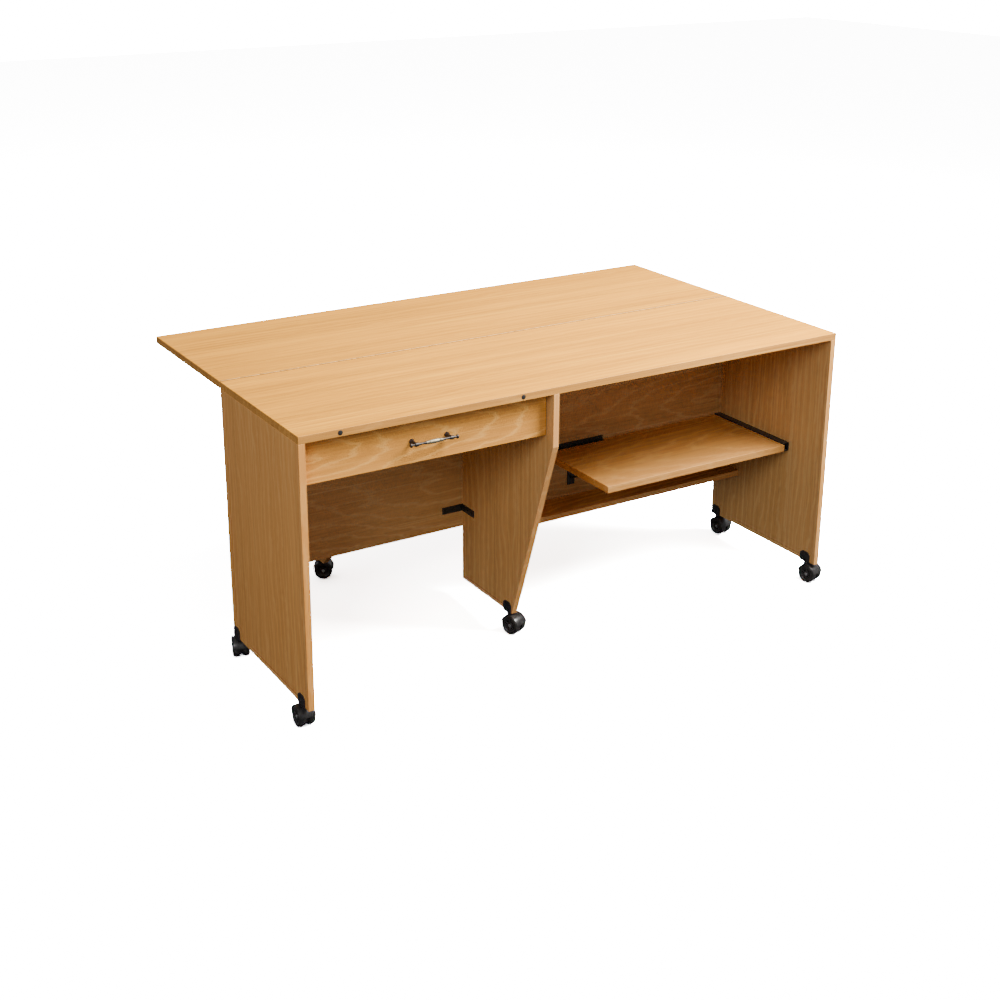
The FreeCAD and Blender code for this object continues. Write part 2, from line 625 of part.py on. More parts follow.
def make_runner(upright, drawer_side, face_x, inward):
    steel = RUNNER_STEEL
    y0 = DRAWER_BACK_OF_FRONT + RUNNER_SETBACK
    y1 = DRAWER_BACK_OF_FRONT + DRAWER_BOX_DEPTH
    z0 = RUNNER_BOTTOM
    z1 = z0 + RUNNER_HEIGHT
    lip = face_x + inward * (RUNNER_SPACE - steel - RUNNING_GAP)
    web = face_x + inward * steel
    side_face = face_x + inward * RUNNER_SPACE
    strip_face = side_face - inward * steel
    channel = block(min(face_x, lip), max(face_x, lip), y0, y1, z0, z1)
    past = lip + inward * CUT_OVER
    hollow = block(min(web, past), max(web, past), y0 - CUT_OVER, y1 + CUT_OVER,
                   z0 + steel, z1 - steel)
    add("cabinet_runners", channel.cut(hollow))
    inset = 2.0 * steel + RUNNING_GAP
    strip = block(min(strip_face, side_face), max(strip_face, side_face), y0, y1,
                  z0 + inset, z1 - inset)
    add("drawer_runners", strip)
    glide_face = web + inward * RUNNING_GAP
    for start in (y1 - GLIDE_LENGTH, (y0 + y1) / 2.0):
        glide = block(min(glide_face, strip_face), max(glide_face, strip_face),
                      start, start + GLIDE_LENGTH, z0 + steel + RUNNING_GAP, z1 - steel - RUNNING_GAP)
        add("drawer_glides", broken(glide, GLIDE_BREAK))
    z = (z0 + z1) / 2.0
    for share in (0.15, 0.62, 0.88):
        y = y0 + (y1 - y0) * share
        seat = vec(web, y, z)
        screw("flush_screws", "cabinet_runners", upright, seat, vec(-inward, 0, 0), steel, True)
    for share in (0.1, 0.4, 0.75):
        y = y0 + (y1 - y0) * share
        seat = vec(strip_face, y, z)
        screw("drawer_screws", "drawer_runners", drawer_side, seat, vec(inward, 0, 0), steel, True,
              THIN_SCREW_BITE)


def make_handle():
    """Turned bar on two posts, with a pewter grip sleeve at its middle."""
    face = DRAWER_RECESS
    bar_y = face - HANDLE_PROJECTION
    pieces = [turned_bar(bar_y)]
    for side in (-1, 1):
        post_x = DRAWER_MIDDLE_X + side * HANDLE_CENTRES / 2.0
        base = vec(post_x, face, DRAWER_MIDDLE_Z)
        pieces.append(rod(HANDLE_POST_R, base, -Y_AXIS, HANDLE_PROJECTION))
        pieces.append(Part.makeCone(HANDLE_FOOT_R, HANDLE_POST_R, HANDLE_FLARE, base, -Y_AXIS))
        make_handle_screw(post_x)
    add("drawer_handle", joined(pieces))
    make_grip(bar_y)


def turned_bar(bar_y):
    """Bar with a knob at each end and a collar where each post meets it."""
    knob = HANDLE_LENGTH / 2.0
    post = HANDLE_CENTRES / 2.0
    collar_r = HANDLE_POST_R + HANDLE_COLLAR
    half_profile = [
        (knob, 0.0),
        (knob, HANDLE_ROD_R),
        (knob - HANDLE_KNOB_BEVEL, HANDLE_END_R),
        (knob - HANDLE_KNOB_LENGTH + HANDLE_KNOB_NECK, HANDLE_END_R),
        (knob - HANDLE_KNOB_LENGTH, HANDLE_ROD_R),
        (post + collar_r, HANDLE_ROD_R),
        (post + collar_r - HANDLE_COLLAR, collar_r),
        (post - collar_r + HANDLE_COLLAR, collar_r),
        (post - collar_r, HANDLE_ROD_R),
    ]
    outline = [(-x, r) for x, r in half_profile] + half_profile[::-1]
    corners = [vec(DRAWER_MIDDLE_X + x, bar_y, DRAWER_MIDDLE_Z + r) for x, r in outline]
    face = Part.Face(Part.makePolygon(corners + corners[:1]))
    return face.revolve(vec(DRAWER_MIDDLE_X, bar_y, DRAWER_MIDDLE_Z), X_AXIS, 360)


def make_handle_screw(x):
    """Machine screw from inside the drawer, through the front and into the post."""
    inside = vec(x, DRAWER_BACK_OF_FRONT, DRAWER_MIDDLE_Z)
    length = BOARD_THICKNESS + SCREW_BITE
    shank = rod(SCREW_R, inside, -Y_AXIS, length)
    head = rod(SCREW_HEAD_R, inside, Y_AXIS, SCREW_HEAD)
    add("drawer_screws", joined([shank, head]))
    hole = rod(SCREW_R + FIT_GAP, inside + Y_AXIS * FIT_GAP, -Y_AXIS, length + 2 * FIT_GAP)
    bore("drawer_front", hole)
    bore("drawer_handle", hole)


def make_grip(bar_y):
    """Sleeve on the bar, full in the middle and necked at both ends."""
    half = GRIP_LENGTH / 2.0
    start = vec(DRAWER_MIDDLE_X - half, bar_y, DRAWER_MIDDLE_Z)
    sleeve = rod(GRIP_R, start, X_AXIS, GRIP_LENGTH)
    sleeve = sleeve.makeFillet(GRIP_ROUND, sleeve.Edges[:1] + sleeve.Edges[2:3])
    add("handle_grip", sleeve)
    bore("handle_grip", rod(HANDLE_ROD_R + FIT_GAP, start - X_AXIS * CUT_OVER, X_AXIS,
                            GRIP_LENGTH + 2 * CUT_OVER))


# ---- gate leg

def make_gate_leg():
    """Board leg that stands straight back under the leaf; its hinge side is cut on a slant."""
    outline = [
        (GATE_START_Y, GATE_TOP),
        (GATE_END_Y, GATE_TOP),
        (GATE_END_Y, CASTER_HEIGHT),
        (GATE_END_Y - GATE_FOOT_WIDTH, CASTER_HEIGHT),
        (GATE_START_Y, GATE_SHOULDER_Z),
    ]
    add("gate_leg", broken(prism_along_x(outline, GATE_LEFT_X, GATE_RIGHT_X)))
    make_gate_pad()


def make_gate_pad():
    """Round pad pegged into the leg's top edge, on which the leaf rests."""
    seat = vec(GATE_LEFT_X + HALF_BOARD, GATE_END_Y - GATE_PAD_INSET, GATE_TOP)
    pad = rod(GATE_PAD_R, seat, Z_AXIS, TOP_UNDERSIDE - RUNNING_GAP - GATE_TOP)
    peg = rod(GATE_PEG_R, seat, -Z_AXIS, GATE_PEG_DEPTH)
    add("gate_pad", joined([pad, peg]))
    bore("gate_leg", rod(GATE_PEG_R + FIT_GAP, seat, -Z_AXIS, GATE_PEG_DEPTH + FIT_GAP))


def make_gate_hinges():
    """Two butt hinges: one plate on the back panel, the other on the gate leg's right face."""
    for middle_z in BUTT_HEIGHTS:
        low = middle_z - BUTT_HEIGHT / 2.0
        spans = knuckle_spans(BUTT_KNUCKLES, low, low + BUTT_HEIGHT)
        fixed_plate = block(GATE_PIVOT_X, GATE_PIVOT_X + BUTT_WIDTH, TOP_DEPTH,
                            TOP_DEPTH + BUTT_PLATE, low, low + BUTT_HEIGHT)
        moving_plate = block(GATE_RIGHT_X, GATE_RIGHT_X + BUTT_PLATE, GATE_PIVOT_Y,
                             GATE_PIVOT_Y + BUTT_WIDTH, low, low + BUTT_HEIGHT)
        add("gate_hinge_plates_fixed", butt_half(fixed_plate, spans[0::2], spans[1::2]))
        add("gate_hinge_plates_moving", butt_half(moving_plate, spans[1::2], spans[0::2]))
        add("gate_hinge_pins", rod(BUTT_PIN_R, gate_axis(low), Z_AXIS, BUTT_HEIGHT))
        make_gate_hinge_screws(low)


def gate_axis(z):
    return vec(GATE_PIVOT_X, GATE_PIVOT_Y, z)


def butt_half(plate, own, other):
    """One plate with its own knuckles, notched round the other plate's knuckles."""
    knuckles = [rod(BUTT_KNUCKLE_R, gate_axis(a), Z_AXIS, b - a) for a, b in own]
    solid = joined([plate] + knuckles)
    clear = BUTT_KNUCKLE_R + RUNNING_GAP
    cuts = []
    for a, b in other:
        cuts.append(rod(clear, gate_axis(a - RUNNING_GAP), Z_AXIS, b - a + 2 * RUNNING_GAP))
    cuts.append(rod(BUTT_PIN_R + PIN_CLEARANCE, gate_axis(0.0), Z_AXIS, TABLE_HEIGHT))
    return solid.cut(cuts)


def make_gate_hinge_screws(low):
    across = BUTT_WIDTH * 0.64
    for share in (0.15, 0.5, 0.85):
        z = low + BUTT_HEIGHT * share
        on_back = vec(GATE_PIVOT_X + across, TOP_DEPTH + BUTT_PLATE, z)
        screw("flush_screws", "gate_hinge_plates_fixed", "back_panel", on_back,
              -Y_AXIS, BUTT_PLATE, flush=True)
        on_leg = vec(GATE_RIGHT_X + BUTT_PLATE, GATE_PIVOT_Y + across, z)
        screw("gate_screws", "gate_hinge_plates_moving", "gate_leg", on_leg,
              -X_AXIS, BUTT_PLATE, flush=True)


# ---- casters

def make_casters():
    for name, (stem_x, stem_y, angle) in CASTERS.items():
        make_caster_bracket(name, stem_x, stem_y)
        turn = FreeCAD.Placement(vec(stem_x, stem_y, 0), FreeCAD.Rotation(Z_AXIS, angle))
        add("caster_hood_" + name, turned(caster_hood(), turn))
        add("caster_wheel_left_" + name, turned(caster_wheel(-1), turn))
        add("caster_wheel_right_" + name, turned(caster_wheel(1), turn))


def turned(shape, placement):
    copy = shape.copy()
    copy.Placement = placement
    return copy


def make_caster_bracket(name, stem_x, stem_y):
    """Angle plate under the board with a tab up its left face and a socket for the stem."""
    node = "caster_bracket_gate" if name == "gate" else "caster_brackets"
    screws = "gate_screws" if name == "gate" else "pan_screws"
    target = CASTER_BOARDS[name]
    face = stem_x - HALF_BOARD
    half = TAB_WIDTH / 2.0
    low = BRACKET_UNDERSIDE
    foot = block(face - BRACKET_PLATE, face + BOARD_THICKNESS, stem_y - half, stem_y + half,
                 low, CASTER_HEIGHT)
    tab = block(face - BRACKET_PLATE, face, stem_y - half, stem_y + half,
                low, CASTER_HEIGHT + TAB_HEIGHT)
    top_corners = [e for e in tab.Edges if is_tab_corner(e)]
    tab = tab.makeFillet(TAB_CORNER, top_corners)
    socket_length = BRACKET_PLATE + SOCKET_DEPTH
    socket = rod(SOCKET_R, vec(stem_x, stem_y, low), Z_AXIS, socket_length)
    bracket = joined([foot, tab, socket])
    hole = rod(STEM_R + PIN_CLEARANCE, vec(stem_x, stem_y, low - CUT_OVER), Z_AXIS,
               socket_length)
    add(node, bracket.cut(hole))
    bore(target, rod(SOCKET_R + FIT_GAP, vec(stem_x, stem_y, low), Z_AXIS,
                     socket_length + FIT_GAP))
    for y in (stem_y - half * 0.62, stem_y + half * 0.62):
        seat = vec(face - BRACKET_PLATE, y, CASTER_HEIGHT + TAB_HEIGHT * 0.6)
        screw(screws, node, target, seat, X_AXIS, BRACKET_PLATE)


def is_tab_corner(edge):
    """True for the two short edges through the tab at its upper corners."""
    box = edge.BoundBox
    along_x = box.XLength > box.YLength + box.ZLength
    return along_x and box.ZMin > CASTER_HEIGHT + TAB_HEIGHT / 2.0


def caster_hood():
    """Hood with a web between the wheels, the stem on top and the axle through the web."""
    axle = vec(0, CASTER_TRAIL, WHEEL_R)
    half_web = WHEEL_GAP / 2.0 - RUNNING_GAP
    half_width = WHEEL_GAP / 2.0 + WHEEL_WIDTH
    inner = WHEEL_R + HOOD_CLEARANCE
    outer = inner + HOOD_WALL
    drum = rod(outer, axle - X_AXIS * half_width, X_AXIS, 2 * half_width)
    above = block(-half_width, half_width, -2 * outer, 2 * outer,
                  WHEEL_R + HOOD_LIP_RISE, WHEEL_R + outer)
    boss_bottom = WHEEL_R + inner / 2.0
    boss = rod(HOOD_BOSS_R, vec(0, 0, boss_bottom), Z_AXIS, HOOD_BOSS_TOP - boss_bottom)
    shell = drum.common(above).fuse(boss)
    for side in (-1, 1):
        start = axle + X_AXIS * (side * half_web)
        shell = shell.cut(rod(inner, start, vec(side, 0, 0), 2 * half_width))
    web = rod(WHEEL_R - HOOD_WALL, axle - X_AXIS * half_web, X_AXIS, 2 * half_web)
    stem_bottom = HOOD_BOSS_TOP - STEM_OVERLAP
    stem = rod(STEM_R, vec(0, 0, stem_bottom), Z_AXIS, CASTER_HEIGHT + STEM_LENGTH - stem_bottom)
    return joined([shell, web, stem, caster_axle(axle, half_width)])


def caster_axle(axle, half_width):
    """Axle with a flat head in the recess of each wheel."""
    head_start = half_width - HUB_RECESS + RUNNING_GAP
    pieces = [rod(AXLE_R, axle - X_AXIS * head_start, X_AXIS, 2 * head_start)]
    for side in (-1, 1):
        start = axle + X_AXIS * (side * head_start)
        pieces.append(rod(AXLE_HEAD_R, start, vec(side, 0, 0), AXLE_HEAD))
    return joined(pieces)


def caster_wheel(side):
    """Wheel on one side of the web; side is -1 for left and 1 for right."""
    axle = vec(0, CASTER_TRAIL, WHEEL_R)
    out = vec(side, 0, 0)
    inner_face = axle + out * (WHEEL_GAP / 2.0)
    wheel = rod(WHEEL_R, inner_face, out, WHEEL_WIDTH)
    rims = [e for e in wheel.Edges if e.Closed]
    wheel = wheel.makeFillet(WHEEL_ROUND, rims)
    outer_face = inner_face + out * WHEEL_WIDTH
    recess = rod(HUB_RECESS_R, outer_face + out * CUT_OVER, -out, HUB_RECESS + CUT_OVER)
    hole = rod(AXLE_R + PIN_CLEARANCE, inner_face - out * CUT_OVER, out,
               WHEEL_WIDTH + 2 * CUT_OVER)
    return wheel.cut([recess, hole])


# ---- assembly

def make_all():
    make_tabletop()
    make_leaf()
    make_seam_hinge()
    make_uprights()
    make_back_panel()
    make_rear_board()
    make_dowels()
    make_cams()
    make_edge_plugs()
    make_braces()
    make_shelf()
    make_shelf_rail()
    make_shelf_angle()
    make_shelf_brackets()
    make_drawer_box()
    make_runners()
    make_handle()
    make_gate_leg()
    make_gate_hinges()
    make_casters()


def finished():
    """Every node as one shape, with its holes and grooves cut."""
    shapes = {}
    for node, pieces in solids.items():
        cut = [p.cut(tools[node]) if node in tools else p for p in pieces]
        shapes[node] = Part.makeCompound([s for c in cut for s in c.Solids])
    return shapes


def place(shapes):
    """Centre the whole table on X and Y = 0; the wheels already stand on Z = 0."""
    box = Part.makeCompound(list(shapes.values())).optimalBoundingBox(False)
    shift = vec(-(box.XMin + box.XMax) / 2.0, -(box.YMin + box.YMax) / 2.0, 0)
    for shape in shapes.values():
        shape.translate(shift)
    return shift


def export(shapes):
    os.makedirs("parts", exist_ok=True)
    for node, shape in shapes.items():
        shape.exportStep("parts/" + node + ".step")


make_all()
table = finished()
shift = place(table)
export(table)
print("nodes", len(table), "shift", shift)
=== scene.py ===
import json
import math

import bmesh
import bpy
from mathutils import Matrix, Vector


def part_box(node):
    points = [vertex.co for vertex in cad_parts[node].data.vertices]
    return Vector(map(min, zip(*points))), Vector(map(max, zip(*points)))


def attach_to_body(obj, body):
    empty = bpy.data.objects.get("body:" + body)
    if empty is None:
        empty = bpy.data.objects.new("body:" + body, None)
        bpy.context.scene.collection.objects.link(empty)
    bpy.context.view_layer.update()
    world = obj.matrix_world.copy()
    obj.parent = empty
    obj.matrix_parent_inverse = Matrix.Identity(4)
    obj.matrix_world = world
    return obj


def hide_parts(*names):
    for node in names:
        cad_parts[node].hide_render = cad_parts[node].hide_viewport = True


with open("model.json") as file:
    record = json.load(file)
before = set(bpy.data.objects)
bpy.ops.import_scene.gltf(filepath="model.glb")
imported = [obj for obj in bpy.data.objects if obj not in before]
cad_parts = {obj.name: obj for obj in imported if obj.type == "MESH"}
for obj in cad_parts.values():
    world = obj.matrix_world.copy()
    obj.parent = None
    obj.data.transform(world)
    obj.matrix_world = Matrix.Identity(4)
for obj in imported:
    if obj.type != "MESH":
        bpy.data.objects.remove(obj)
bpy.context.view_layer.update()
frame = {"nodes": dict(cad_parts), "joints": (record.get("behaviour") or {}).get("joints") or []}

bl_info = {
    "name": "Sewing Table",
    "version": (1, 0, 0),
    "blender": (4, 5, 0),
    "location": "3D View > Sidebar > Sewing Table",
    "description": "Finishes, casters, hinge, handle and screws of a mobile sewing table",
    "category": "Object",
}

# ---- what the frame says about the table

X_AXIS = Vector((1, 0, 0))
Y_AXIS = Vector((0, 1, 0))
Z_AXIS = Vector((0, 0, 1))


def joint(name):
    """The frame's joint of that name."""
    return next(j for j in frame["joints"] if j["name"] == name)


def size_of(node):
    """Length of a node along X, Y and Z."""
    low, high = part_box(node)
    return high - low


CASTER_NAMES = [j["name"][len("swivel_"):] for j in frame["joints"]
                if j["name"].startswith("swivel_")]
BOARD_THICKNESS = size_of("left_panel").x
WHEEL_RADIUS = size_of("caster_wheel_left_front_left").z / 2
WHEEL_WIDTH = size_of("caster_wheel_left_front_left").x
CASTER_WIDTH = size_of("caster_hood_front_left").x
BRACKET_SIZE = size_of("caster_bracket_gate")
UPRIGHT_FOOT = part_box("left_panel")[0].z
SEAM_AXIS = Vector(joint("leaf_fold")["pos_m"])
KNUCKLE_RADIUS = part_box("seam_hinge_plate_fixed")[1].z - SEAM_AXIS.z


# ---- settings

class WoodSettings(bpy.types.PropertyGroup):
    """Colours and figure of the oak laminate."""
    light_tone: bpy.props.FloatVectorProperty(
        name="Light tone", description="Colour between the streaks",
        subtype="COLOR", min=0, max=1, default=(0.700, 0.335, 0.096))
    dark_tone: bpy.props.FloatVectorProperty(
        name="Dark tone", description="Colour of the streaks",
        subtype="COLOR", min=0, max=1, default=(0.545, 0.240, 0.058))
    pale_tone: bpy.props.FloatVectorProperty(
        name="Pale tone", description="Colour of the palest lines in the figure",
        subtype="COLOR", min=0, max=1, default=(0.800, 0.450, 0.170))
    figure_size: bpy.props.FloatProperty(
        name="Figure size", description="Distance between the arches of the figure",
        unit="LENGTH", min=0.005, default=0.021)
    pore_depth: bpy.props.FloatProperty(
        name="Pore depth", description="Relief of the pores", unit="LENGTH",
        min=0, default=0.00010)


class CasterSettings(bpy.types.PropertyGroup):
    """Sizes and colour of the casters' moulded parts."""
    nylon: bpy.props.FloatVectorProperty(
        name="Nylon", description="Colour of hoods and wheels",
        subtype="COLOR", min=0, max=1, default=(0.012, 0.011, 0.011))
    tread_round: bpy.props.FloatProperty(
        name="Tread rounding", description="Radius of the tread's edges",
        unit="LENGTH", min=0.0005, default=0.0034)
    spokes: bpy.props.IntProperty(
        name="Spokes", description="Ribs in the recess of each wheel", min=3, default=6)
    bolt_steel: bpy.props.FloatVectorProperty(
        name="Axle steel", description="Colour of the axles' heads",
        subtype="COLOR", min=0, max=1, default=(0.42, 0.42, 0.43))


class HardwareSettings(bpy.types.PropertyGroup):
    """Painted and plated steel, and brass."""
    black: bpy.props.FloatVectorProperty(
        name="Black paint", description="Colour of brackets and angles",
        subtype="COLOR", min=0, max=1, default=(0.014, 0.013, 0.013))
    plated: bpy.props.FloatVectorProperty(
        name="Plated steel", description="Colour of runners and bright screws",
        subtype="COLOR", min=0, max=1, default=(0.62, 0.60, 0.56))
    brass: bpy.props.FloatVectorProperty(
        name="Brass", description="Colour of the leaf's and the gate leg's hinges",
        subtype="COLOR", min=0, max=1, default=(0.40, 0.22, 0.07))
    edge_round: bpy.props.FloatProperty(
        name="Edge rounding", description="Rounding of pressed steel edges",
        unit="LENGTH", min=0.0001, default=0.0005)


class HandleSettings(bpy.types.PropertyGroup):
    """Two-tone bar handle of the drawer."""
    dark: bpy.props.FloatVectorProperty(
        name="Dark metal", description="Colour of the posts and the bar",
        subtype="COLOR", min=0, max=1, default=(0.050, 0.042, 0.038))
    pewter: bpy.props.FloatVectorProperty(
        name="Pewter", description="Colour of the grip",
        subtype="COLOR", min=0, max=1, default=(0.27, 0.235, 0.165))
    grip_rings: bpy.props.IntProperty(
        name="Grip rings", description="Beads turned at each end of the grip", min=0, default=3)


class StageSettings(bpy.types.PropertyGroup):
    """Camera, backdrop and studio light."""
    camera_place: bpy.props.FloatVectorProperty(
        name="Camera", description="Where the camera stands", subtype="TRANSLATION",
        unit="LENGTH", default=(-1.966, -3.181, 1.807))
    heading: bpy.props.FloatProperty(
        name="Heading", description="Turn from +Y towards +X", subtype="ANGLE",
        default=math.radians(30.85))
    tilt: bpy.props.FloatProperty(
        name="Tilt", description="Angle below the horizon", subtype="ANGLE",
        default=math.radians(18.77))
    lens: bpy.props.FloatProperty(name="Lens", description="Focal length in millimetres",
                                  min=10, default=54.3)
    shift: bpy.props.FloatVectorProperty(
        name="Shift", description="Framing shift", size=2, default=(0.023, -0.1))
    sky: bpy.props.FloatProperty(name="Sky", description="Strength of the even studio light",
                                 min=0, default=0.40)
    key: bpy.props.FloatProperty(name="Key light", description="Power of the soft light overhead",
                                 subtype="POWER", min=0, default=450.0)
    fill: bpy.props.FloatProperty(name="Fill light", description="Power of the light from the left",
                                  subtype="POWER", min=0, default=62.0)
    whiteness: bpy.props.FloatProperty(
        name="Backdrop whiteness", description="How much brighter the backdrop is shown",
        min=1, default=32.0)


# ---- node helpers

def feed(tree, node, values):
    """Set or link a node's inputs, by name or by number."""
    for name, value in values.items():
        if isinstance(value, bpy.types.NodeSocket):
            tree.links.new(value, node.inputs[name])
        else:
            node.inputs[name].default_value = value


def add_node(tree, kind, values=None, **attributes):
    """New node with its attributes and inputs set."""
    node = tree.nodes.new(kind)
    for name, value in attributes.items():
        setattr(node, name, value)
    feed(tree, node, values or {})
    return node


def new_tree(name, kind, inputs, outputs):
    """Node group with sockets from (name, socket kind, default) rows, and its inputs."""
    tree = bpy.data.node_groups.new(name, kind)
    for title, socket, default in inputs:
        item = tree.interface.new_socket(title, in_out="INPUT", socket_type="NodeSocket" + socket)
        if default is not None:
            item.default_value = default
    for title, socket in outputs:
        tree.interface.new_socket(title, in_out="OUTPUT", socket_type="NodeSocket" + socket)
    return tree, add_node(tree, "NodeGroupInput").outputs


def math_node(tree, operation, *values):
    """Math node's result from one to three numbers or sockets."""
    return add_node(tree, "ShaderNodeMath", dict(enumerate(values)), operation=operation).outputs[0]


def times(tree, first, second):
    return math_node(tree, "MULTIPLY", first, second)


def times_plus(tree, first, second, added):
    return math_node(tree, "MULTIPLY_ADD", first, second, added)


def vector_math(tree, operation, first, second=(0, 0, 0)):
    """Outputs of a Vector Math node: the vector by number 0, a single value by name."""
    return add_node(tree, "ShaderNodeVectorMath", {0: first, 1: second},
                    operation=operation).outputs


def scaled(tree, vector, factors):
    """Vector multiplied by three numbers."""
    return vector_math(tree, "MULTIPLY", vector, factors)[0]


def mix_colors(tree, factor, first, second, blend="MIX"):
    """Colour mixed from two colours or sockets."""
    return add_node(tree, "ShaderNodeMix", {0: factor, 6: first, 7: second}, data_type="RGBA",
                    blend_type=blend).outputs[2]


def spread(tree, value, low, high, to_low=0.0, to_high=1.0):
    """Value stretched from one range to another, kept inside it."""
    return add_node(tree, "ShaderNodeMapRange", {0: value, 1: low, 2: high, 3: to_low, 4: to_high},
                    clamp=True).outputs[0]


def noise(tree, vector, scale, detail=2.0, roughness=0.5):
    return add_node(tree, "ShaderNodeTexNoise", {"Vector": vector, "Scale": scale, "Detail": detail,
                                                 "Roughness": roughness}).outputs["Fac"]


def streaks(tree, vector, along, across, detail=3.0, roughness=0.6):
    """Noise drawn out along X: along and across are its waves in a metre."""
    return noise(tree, scaled(tree, vector, (along, across, across)), 1.0, detail, roughness)


def rgba(color, shade=1.0):
    return (color[0] * shade, color[1] * shade, color[2] * shade, 1.0)


# ---- shader groups

SURFACE = [("Color", "Color"), ("Roughness", "Float"), ("Height", "Float")]

# waves in a metre along and across the grain, then detail and roughness where they differ
LONG_STREAKS = (1.3, 95.0, 6.0, 0.72)
FINE_STREAKS = (5.0, 610.0)
BROAD_STREAKS = (0.9, 17.0)
PALE_STREAKS = (1.1, 170.0)
PORE_DASHES = (36.0, 950.0, 1.0, 0.5)
ARCH_BEND = (3.4, 14.0, 4.0)
PORE_TINT = (0.62, 0.50, 0.38, 1.0)
ARCH_WAVER = 3.2
ARCH_STRETCH = 0.14


def oak_figure_group():
    """Oak laminate with its grain along X of the given vector."""
    tree, inputs = new_tree("Oak Figure", "ShaderNodeTree", [
        ("Vector", "Vector", None),
        ("Light Tone", "Color", (0.7, 0.34, 0.1, 1)),
        ("Dark Tone", "Color", (0.5, 0.22, 0.06, 1)),
        ("Pale Tone", "Color", (0.8, 0.45, 0.17, 1)),
        ("Figure Size", "Float", 0.021),
        ("Figure Strength", "Float", 0.3)], SURFACE)
    vector, strength = inputs["Vector"], inputs["Figure Strength"]
    fine = streaks(tree, vector, *FINE_STREAKS)
    broad = streaks(tree, vector, *BROAD_STREAKS)
    tone = times(tree, streaks(tree, vector, *LONG_STREAKS), 0.36)
    tone = times_plus(tree, fine, 0.32, tone)
    tone = times_plus(tree, broad, 0.32, tone)
    arches = oak_arches(tree, vector, inputs["Figure Size"])
    arch_shade = times(tree, math_node(tree, "SUBTRACT", arches, 0.5),
                       times(tree, strength, -0.16))
    tone = math_node(tree, "ADD", tone, arch_shade)
    color = mix_colors(tree, spread(tree, tone, 0.34, 0.68), inputs["Light Tone"],
                       inputs["Dark Tone"])
    thin = streaks(tree, vector, *PALE_STREAKS)
    pale = times(tree, spread(tree, thin, 0.58, 0.72), 0.60)
    crests = times(tree, spread(tree, arches, 0.80, 1.0), strength)
    color = mix_colors(tree, math_node(tree, "MAXIMUM", pale, crests), color,
                       inputs["Pale Tone"])
    dashes = streaks(tree, vector, *PORE_DASHES)
    pore = times(tree, spread(tree, dashes, 0.58, 0.70), spread(tree, broad, 0.35, 0.65))
    shade = mix_colors(tree, 1.0, color, PORE_TINT, "MULTIPLY")
    color = mix_colors(tree, times(tree, pore, 0.45), color, shade)
    rough = times_plus(tree, fine, 0.12, times_plus(tree, pore, 0.12, 0.38))
    height = math_node(tree, "SUBTRACT", times(tree, fine, 0.35), pore)
    add_node(tree, "NodeGroupOutput", {"Color": color, "Roughness": rough, "Height": height})
    return tree


def oak_arches(tree, vector, size):
    """Long nested arches about the vector's origin, bent by slow noise: 0 to 1 and back."""
    bend = streaks(tree, vector, *ARCH_BEND)
    reach = vector_math(tree, "LENGTH", scaled(tree, vector, (ARCH_STRETCH, 1.0, 1.0)))["Value"]
    turns = times_plus(tree, bend, ARCH_WAVER, math_node(tree, "DIVIDE", reach, size))
    return times_plus(tree, math_node(tree, "SINE", times(tree, turns, 2 * math.pi)), 0.5, 0.5)


def board_edge_group():
    """A board's colour with a painted highlight on its rounded edges, and painted light and shade
    on its narrow faces.
    """
    tree, inputs = new_tree("Board Edges", "ShaderNodeTree", [
        ("Normal", "Vector", None),
        ("Thickness Axis", "Vector", (0, 0, 1)),
        ("Color", "Color", (0.8, 0.5, 0.25, 1)),
        ("Line Lift", "Float", 1.22),
        ("Band Tint", "Vector", (1.0, 1.0, 1.0))], [("Color", "Color")])
    facing = vector_math(tree, "ABSOLUTE", inputs["Normal"])[0]
    split = add_node(tree, "ShaderNodeSeparateXYZ", {0: facing}).outputs
    largest = math_node(tree, "MAXIMUM", split[0], math_node(tree, "MAXIMUM", split[1], split[2]))
    # line marks the rounded edges, which lift brightens as a painted highlight; the narrow faces
    # take their own painted light and shade.
    line = spread(tree, largest, 0.995, 0.93)
    across = vector_math(tree, "DOT_PRODUCT", facing, inputs["Thickness Axis"])["Value"]
    painted_light_band = spread(tree, across, 0.6, 0.4)
    lift = times_plus(tree, math_node(tree, "SUBTRACT", inputs["Line Lift"], 1.0), line, 1.0)
    edge_highlight = add_node(tree, "ShaderNodeCombineXYZ", {0: lift, 1: lift, 2: lift}).outputs[0]
    color = mix_colors(tree, 1.0, inputs["Color"], edge_highlight, "MULTIPLY")
    band_painted = mix_colors(tree, 1.0, color, inputs["Band Tint"], "MULTIPLY")
    add_node(tree, "NodeGroupOutput", {"Color": mix_colors(tree, painted_light_band, color, band_painted)})
    return tree


def surface_wear_group():
    """Dust, rubbed spots and a fine skin for metal, paint and plastic."""
    tree, inputs = new_tree("Surface Wear", "ShaderNodeTree", [
        ("Vector", "Vector", None),
        ("Base", "Color", (0.1, 0.1, 0.1, 1)),
        ("Rubbed", "Color", (0.3, 0.3, 0.3, 1)),
        ("Amount", "Float", 0.3),
        ("Skin Scale", "Float", 1500.0),
        ("Roughness", "Float", 0.4)], SURFACE)
    patches = spread(tree, noise(tree, inputs["Vector"], 90.0, 5.0, 0.65), 0.50, 0.72)
    skin = noise(tree, inputs["Vector"], inputs["Skin Scale"])
    marks = times(tree, patches, inputs["Amount"])
    color = mix_colors(tree, marks, inputs["Base"], inputs["Rubbed"])
    rough = times_plus(tree, patches, 0.14, inputs["Roughness"])
    add_node(tree, "NodeGroupOutput", {"Color": color, "Height": skin,
                                       "Roughness": times_plus(tree, skin, 0.08, rough)})
    return tree


# ---- materials

GROUPS = {}
FINISHES = {}
BUMP_STRENGTH = 0.6


def settings(name):
    """The scene's settings for wood, casters, hardware, handle or stage."""
    return getattr(bpy.context.scene, "table_" + name)


